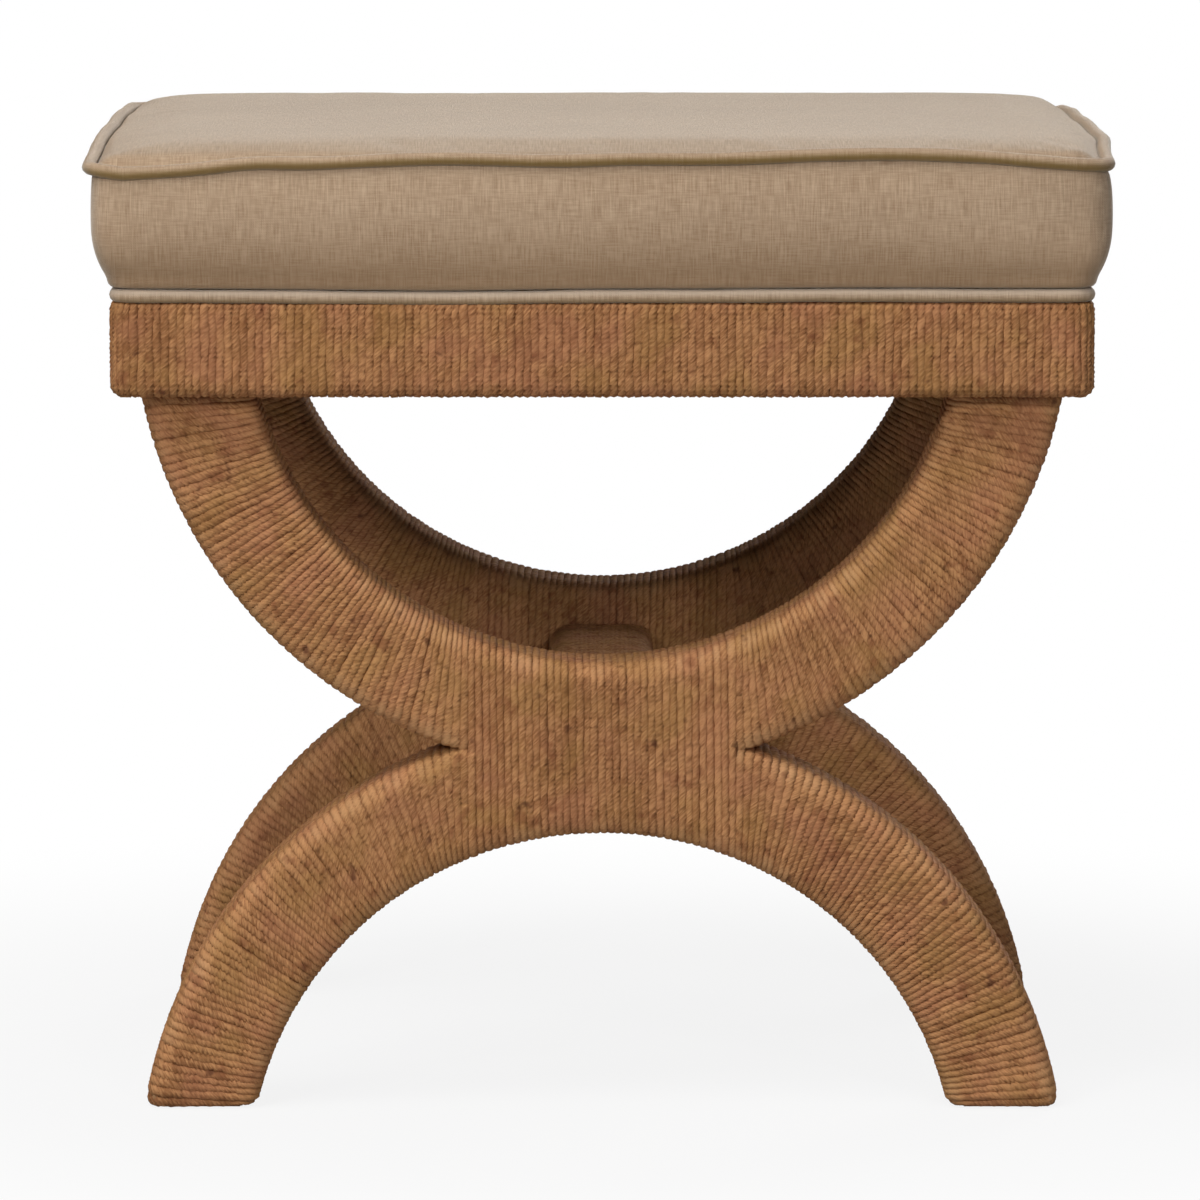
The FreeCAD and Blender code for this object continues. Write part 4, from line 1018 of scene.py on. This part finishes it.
def cushion_rings():
    """Level rings from the deck's edge up the boxing to the top seam: points, height, if sewn."""
    deck_inset = BULGE_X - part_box("seat_deck")[1].x - DECK_CLEARANCE
    under = ((deck_inset, DECK_CORNER, DECK_TOP + 0.0003),
             (deck_inset, DECK_CORNER, BOXING_LOW + 0.0006),
             (0.0100, 0.010, BOXING_LOW - 0.0016))
    rings = [(outline(inset, corner), height, True) for inset, corner, height in under]
    for share in (LOWER_SEAM, *np.arange(1, BAND_STEPS) / BAND_STEPS, BELOW_SEAM, UPPER_SEAM):
        reach = 2 * share - 1
        if reach < 0:
            draw = min(LOWER_TUCK_LIMIT, LOWER_TUCK * abs(reach) ** LOWER_TUCK_POWER)
        else:
            draw = UPPER_TUCK if share == UPPER_SEAM else UPPER_CURVE * reach**2
        sewn = share in (LOWER_SEAM, UPPER_SEAM)
        slack = 0 if sewn else SLACK
        height = BAND_LOW + share * (BAND_HIGH - BAND_LOW)
        rings.append((outline(draw + slack, CUSHION_CORNER), height, sewn))
    # The seam allowance folds in behind the piping.
    folds = ((0.0024, SEAM_HEIGHT - 0.0012), (0.0034, SEAM_HEIGHT + 0.0012))
    return rings + [(outline(inset, TOP_CORNER), height, True) for inset, height in folds]


def crown(points):
    """Rise of the top above its seam: steep at the edge, flat in the middle, soft in the corners."""
    x, y = points.T
    in_x = (BULGE_X - np.abs(x)) / np.where(x > 0, RIGHT_RUN * CROWN_RUN, CROWN_RUN)
    in_y = (BULGE_Y - np.abs(y)) / CROWN_RUN
    both = np.exp(-in_x / CROWN_SOFTNESS) + np.exp(-in_y / CROWN_SOFTNESS)
    inside = np.clip(-CROWN_SOFTNESS * np.log(both), 0, 1)
    return CROWN_HEIGHT * (1 - (1 - inside) ** 3)


def top_heights(inner, seam):
    """Heights of the top panel's points. The seam's own rise fades out away from the edge."""
    near_edge = np.max(np.abs(inner) / (BULGE_X, BULGE_Y), axis=1) ** EDGE_FADE
    lift = seam_lift(inner) * near_edge + SEAM_RISE * (1 - near_edge)
    return seam + EDGE_ROLL + crown(inner) + lift * 0.5


def patch(ring):
    """Points of a grid that fills a ring, from the four sides inwards."""
    a, b = SEGMENTS_X, SEGMENTS_Y
    closed = np.concatenate([ring, ring[:1]])
    front_side = closed[: a + 1]
    right_side = closed[a: a + b + 1]
    rear_side = closed[a + b: 2 * a + b + 1][::-1]
    left_side = closed[2 * a + b: 2 * a + 2 * b + 1][::-1]
    u = (np.arange(a + 1) / a)[:, None, None]
    v = (np.arange(b + 1) / b)[None, :, None]
    sides = (1 - v) * front_side[:, None] + v * rear_side[:, None]
    sides = sides + (1 - u) * left_side[None] + u * right_side[None]
    corners = ((1 - u) * (1 - v) * front_side[0] + u * (1 - v) * front_side[-1]
               + (1 - u) * v * rear_side[0] + u * v * rear_side[-1])
    return sides - corners


print("cushion rings:", len(cushion_rings()))

# %% [markdown]
# ## The cushion's mesh
# The rings and the two panels become one closed mesh, so that pressure can fill it. It starts
# a little smaller than the CAD solids, and a list keeps which points the seams hold.

# %% Mesh of the cushion before it is filled


def ring_faces(rings, sides, closed=False):
    """Faces between each ring of points and the next, and from the last to the first if closed."""
    faces = []
    for ring in range(rings if closed else rings - 1):
        here = ring * sides
        beyond = (ring + 1) % rings * sides
        for side in range(sides):
            after = (side + 1) % sides
            faces.append((here + side, here + after, beyond + after, beyond + side))
    return faces


def panel_faces(base, first, is_top):
    """Faces of a panel between the ring that starts at base and its own points from first on."""
    a, b = SEGMENTS_X, SEGMENTS_Y
    number = np.zeros((a + 1, b + 1), int)
    number[:, 0] = base + np.arange(a + 1)
    number[-1, :] = base + a + np.arange(b + 1)
    number[::-1, -1] = base + a + b + np.arange(a + 1)
    left = base + 2 * a + b + np.arange(b + 1)
    left[-1] = base
    number[0, ::-1] = left
    number[1:-1, 1:-1] = first + np.arange((a - 1) * (b - 1)).reshape(a - 1, b - 1)
    faces = []
    for i in range(a):
        for j in range(b):
            loop = (number[i, j], number[i + 1, j], number[i + 1, j + 1], number[i, j + 1])
            faces.append(loop if is_top else loop[::-1])
    return faces


def cushion_mesh():
    """Points and faces of the closed cover, which points are held, and its number of rings."""
    points = []
    sewn = []
    rings = cushion_rings()
    for flat, height, held in rings:
        way_up = slope(height, BOXING_LOW, SEAM_HEIGHT)
        lift = seam_lift(flat) * way_up**2 + lower_lift(flat) * (1 - way_up) ** 2
        points.append(np.column_stack([flat, height + lift]))
        sewn += [held] * len(flat)
    faces = ring_faces(len(rings), AROUND)
    first = len(rings) * AROUND
    for ring, is_top in ((len(rings) - 1, True), (0, False)):
        flat, seam, _ = rings[ring]
        inner = patch(flat)[1:-1, 1:-1].reshape(-1, 2)
        height = top_heights(inner, seam) if is_top else np.full(len(inner), seam)
        points.append(np.column_stack([inner, height]))
        sewn += [not is_top] * len(inner)
        faces += panel_faces(ring * AROUND, first, is_top)
        first += len(inner)
    return eased(np.concatenate(points)), faces, np.array(sewn), len(rings)


start_points, faces, sewn, ring_count = cushion_mesh()
cushion = surface("cushion", start_points.tolist(), faces, linen)
print("cushion mesh:", len(start_points), "points,", int(sewn.sum()), "held")

# %% [markdown]
# ## Filling the cushion
# Pressure pushes the loose cloth outwards for twenty frames while the seams stay where they
# are sewn. No point may move further than a few millimetres, and less on the top, which the
# foam holds flat, so the cushion keeps its size. The foam also evens out most of the short
# waves of the band. A last subdivision smooths what the cloth grid is too coarse for.

# %% Fill the cover by cloth simulation
COVER = {"quality": 6, "mass": 0.25, "tension_stiffness": 25, "compression_stiffness": 25,
         "shear_stiffness": 10, "bending_stiffness": 2.5, "vertex_group_mass": "sewn",
         "use_pressure": True, "uniform_pressure_force": 4, "shrink_min": -0.001}
FILL_FRAMES = 20
FILL_REACH = 0.0040
TOP_REACH = 0.0018
EVENED = 0.75
EVEN_REACH = 7


def simulated(piece):
    """Points of the cover after the cloth simulation. Its modifier is taken off again."""
    group = piece.vertex_groups.new(name="sewn")
    group.add([int(index) for index in np.flatnonzero(sewn)], 1.0, "REPLACE")
    cloth = piece.modifiers.new("filling", "CLOTH")
    for name, value in COVER.items():
        setattr(cloth.settings, name, value)
    cloth.settings.effector_weights.gravity = 0
    cloth.point_cache.frame_start = 1
    cloth.point_cache.frame_end = FILL_FRAMES
    for step in range(1, FILL_FRAMES + 1):
        scene.frame_set(step)
    filled = piece.evaluated_get(bpy.context.evaluated_depsgraph_get()).data
    points = np.empty(len(filled.vertices) * 3, np.float32)
    filled.vertices.foreach_get("co", points)
    piece.modifiers.remove(cloth)
    piece.vertex_groups.remove(group)
    scene.frame_set(1)
    return points.reshape(-1, 3)


def fill_cover(piece):
    """Fill the cover, keep its points within reach, and say how far they wanted to go."""
    moved = simulated(piece) - start_points
    on_band = slice(None, ring_count * AROUND)
    on_top = slice(ring_count * AROUND, None)
    band = moved[on_band].reshape(ring_count, AROUND, 3)
    shifts = range(-EVEN_REACH, EVEN_REACH + 1)
    evened = sum(np.roll(band, shift, axis=1) for shift in shifts) / len(shifts)
    moved[on_band] = ((1 - EVENED) * band + EVENED * evened).reshape(-1, 3)
    far = np.linalg.norm(moved, axis=1, keepdims=True)
    limited = np.minimum(far, FILL_REACH)
    # The limit of the top comes in softly, so that it leaves no crease.
    limited[on_top] = TOP_REACH * np.tanh(far[on_top] / TOP_REACH)
    kept = start_points + moved * limited / np.maximum(far, 1e-9)
    piece.data.vertices.foreach_set("co", kept.astype(np.float32).ravel())
    piece.data.update()
    return far


far = fill_cover(cushion)
print("cover moved by up to", round(float(far.max()) * 1000, 1), "mm, mean",
      round(float(far.mean()) * 1000, 2), "mm before the limit")
smooth = cushion.modifiers.new("smooth", "SUBSURF")
smooth.levels = 1
smooth.render_levels = 1
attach(cushion, "root")
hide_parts("boxing_band", "top_panel", "foam_core")
print("cushion top at", round(max(v.co.z for v in cushion.data.vertices), 4))

# %% [markdown]
# ## Piping
# Each seam holds a piping cord wrapped in a strip of the same linen. It is a plain round tube
# from a step away, but a sewn one is never quite straight or even, so it follows the seam's
# own ripple and its thickness varies a little.

# %% Make the two welts
WELT_RADIUS = 0.0032
WELT_SIDES = 12
WELT_VARIES = 0.02
TOP_WELT_PROUD = 0.0006
TOP_WELT_DEPTH = 0.988
LOWER_WELT_CORNER = 0.009
LOWER_WELT_SUNK = 0.0010


def welt_piece(name, node, inset, corner, height, lifted, depth_scale=1.0):
    """Closed tube along a ring of the cushion; the scale draws in its front and rear runs."""
    flat = outline(inset, corner)
    lift = seam_lift(flat) if lifted else lower_lift(flat)
    path = np.column_stack([flat, height + lift])
    path[:, 1] *= depth_scale
    if lifted:
        path = eased(path)
    count = len(path)
    along = unit(np.roll(path, -1, axis=0) - np.roll(path, 1, axis=0))
    beside = unit(np.cross(along, [0.0, 0.0, 1.0]))
    over = np.cross(beside, along)
    around = 2 * np.pi * np.arange(WELT_SIDES)[None, :, None] / WELT_SIDES
    turn = 2 * np.pi * np.arange(count) / count
    radius = WELT_RADIUS * (1 + WELT_VARIES * (np.sin(23 * turn + 1.0) + np.sin(41 * turn)))
    outward = np.cos(around) * beside[:, None] + np.sin(around) * over[:, None]
    rings = path[:, None] + radius[:, None, None] * outward
    faces = ring_faces(count, WELT_SIDES, closed=True)
    piece = surface(name, rings.reshape(-1, 3).tolist(), faces, piping_linen)
    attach(piece, "root")
    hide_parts(node)
    return piece


apron_inset = BULGE_X - APRON_X
top_piping = welt_piece("top_piping", "top_welt", -TOP_WELT_PROUD, CUSHION_CORNER,
                        SEAM_HEIGHT, True, TOP_WELT_DEPTH)
lower_piping = welt_piece("lower_piping", "lower_welt", apron_inset + WELT_RADIUS, LOWER_WELT_CORNER,
                          APRON_TOP + WELT_RADIUS - LOWER_WELT_SUNK, False)
for piece in (top_piping, lower_piping):
    print(piece.name, len(piece.data.polygons), "faces")

# %% [markdown]
# ## Finishes of the carried-over solids
# The wood, the deck, the felt soles, the dust cloth and the screws keep their CAD shapes.
# Each takes the finish of its own slot in the record.

# %% Dress the CAD nodes
for entry in frame["record"]["subparts"]:
    node = nodes[entry["node"]]
    if entry["material_slot"] in slot_finish:
        node.data.materials.clear()
        node.data.materials.append(slot_finish[entry["material_slot"]])

# %% [markdown]
# ## Floor and background
# A grey floor runs out of view, and the world gives hardly any light, so the lamps alone light
# the stool. The camera sees both as white: the floor is mostly a white glow to it, with a little
# of the real floor near the stool, which keeps the soft shadow.

# %% Set the stage
WHITE = (1.0, 1.0, 1.0, 1.0)
FLOOR_GREY = (0.5, 0.5, 0.5, 1.0)
FLOOR_REACH = 16
SHADOW_REACH = (0.25, 0.75)
FLOOR_GLOW = 0.87
FILL_LIGHT = 0.02


def stage_finish():
    """Grey floor that keeps the shadow but shows white to the camera elsewhere."""
    material, place, _ = new_finish("floor", Roughness=0.9, Base_Color=FLOOR_GREY)
    tree = material.node_tree
    shader = Wire(tree, tree.nodes["Principled BSDF"].outputs[0])
    seen = place.node("LightPath", {}, {}, "Is Camera Ray")
    glow = place.node("Emission", {}, {"Color": WHITE, "Strength": 1.0})
    distance = place.node("VectorMath", {"operation": "LENGTH"}, {0: place}, "Value")
    share = seen * (FLOOR_GLOW + (1 - FLOOR_GLOW) * distance.ramp(*SHADOW_REACH))
    both = place.node("MixShader", {}, {0: share, 1: shader, 2: glow})
    tree.links.new(both.socket, tree.nodes["Material Output"].inputs["Surface"])
    return material


floor_corners = [(x * FLOOR_REACH, y * FLOOR_REACH, 0) for x, y in ((-1, -1), (1, -1), (1, 1), (-1, 1))]
floor = surface("floor", floor_corners, [(0, 1, 2, 3)], stage_finish())

world = bpy.data.worlds.new("studio")
scene.world = world
world.use_nodes = True
start = Wire(world.node_tree)
seen = start.node("LightPath", {}, {}, "Is Camera Ray")
mirrored = start.node("LightPath", {}, {}, "Is Glossy Ray")
through = start.node("LightPath", {}, {}, "Is Transmission Ray")
white = seen.maths("MINIMUM", seen + mirrored + through, 1.0)
strength = FILL_LIGHT + (1 - FILL_LIGHT) * white
background = world.node_tree.nodes["Background"]
background.inputs["Color"].default_value = WHITE
world.node_tree.links.new(strength.socket, background.inputs["Strength"])
print("floor reaches", FLOOR_REACH, "m, world fills with", FILL_LIGHT)

# %% [markdown]
# ## Lamps
# The photograph is lit as in a product studio. One large lamp overhead, in front to the left,
# gives the level and the soft shadow. Two small ones in front, left and right, light the faces
# and draw the grooves of the cord, and one behind lights the rear and the top's far edge.

# %% Set the lamps
LAMP_AIM = (0, 0, 0.25)
LAMPS = (("key", (-1.0, -1.4, 3.4), 2.0, 94),
         ("left", (-1.6, -2.9, 1.7), 0.6, 38),
         ("right", (1.1, -3.2, 1.45), 0.35, 22),
         ("back", (1.4, 3.1, 1.5), 1.2, 36))


def lamp(name, place, width, power):
    """A square area lamp that looks at the middle of the stool."""
    light = bpy.data.lights.new(name, "AREA")
    light.shape = "SQUARE"
    light.size = width
    light.energy = power
    stand = bpy.data.objects.new(name, light)
    stand.location = place
    back = np.array(place) - np.array(LAMP_AIM)
    tilt = math.atan2(math.hypot(back[0], back[1]), back[2])
    stand.rotation_euler = (tilt, 0, math.atan2(back[0], -back[1]))
    scene.collection.objects.link(stand)


for name, place, width, power in LAMPS:
    lamp(name, place, width, power)
    print("lamp", name, power, "W")

# %% [markdown]
# ## Camera
# The camera is far away with a long lens, a little above the seat, as the photograph's nearly
# parallel lines ask.

# %% Set the camera
CAMERA_PLACE = (-0.0010, -4.128, 0.7179)
CAMERA_DIP = 6.88
lens = bpy.data.cameras.new("camera")
lens.sensor_width = 36.0
lens.lens = 254.4
lens.clip_end = 50.0
camera = bpy.data.objects.new("camera", lens)
camera.location = CAMERA_PLACE
camera.rotation_euler = (math.radians(90 - CAMERA_DIP), 0, 0)
scene.collection.objects.link(camera)
scene.camera = camera
scene.view_settings.view_transform = "Standard"
print("camera at", tuple(round(c, 3) for c in camera.location))

# %% [markdown]
# ## Check the size and finish
# The visual model has to stay in the CAD model's box, apart from the little that cloth stands
# proud. Last, the view layer is brought up to date.

# %% Bring the scene up to date
bpy.context.view_layer.update()
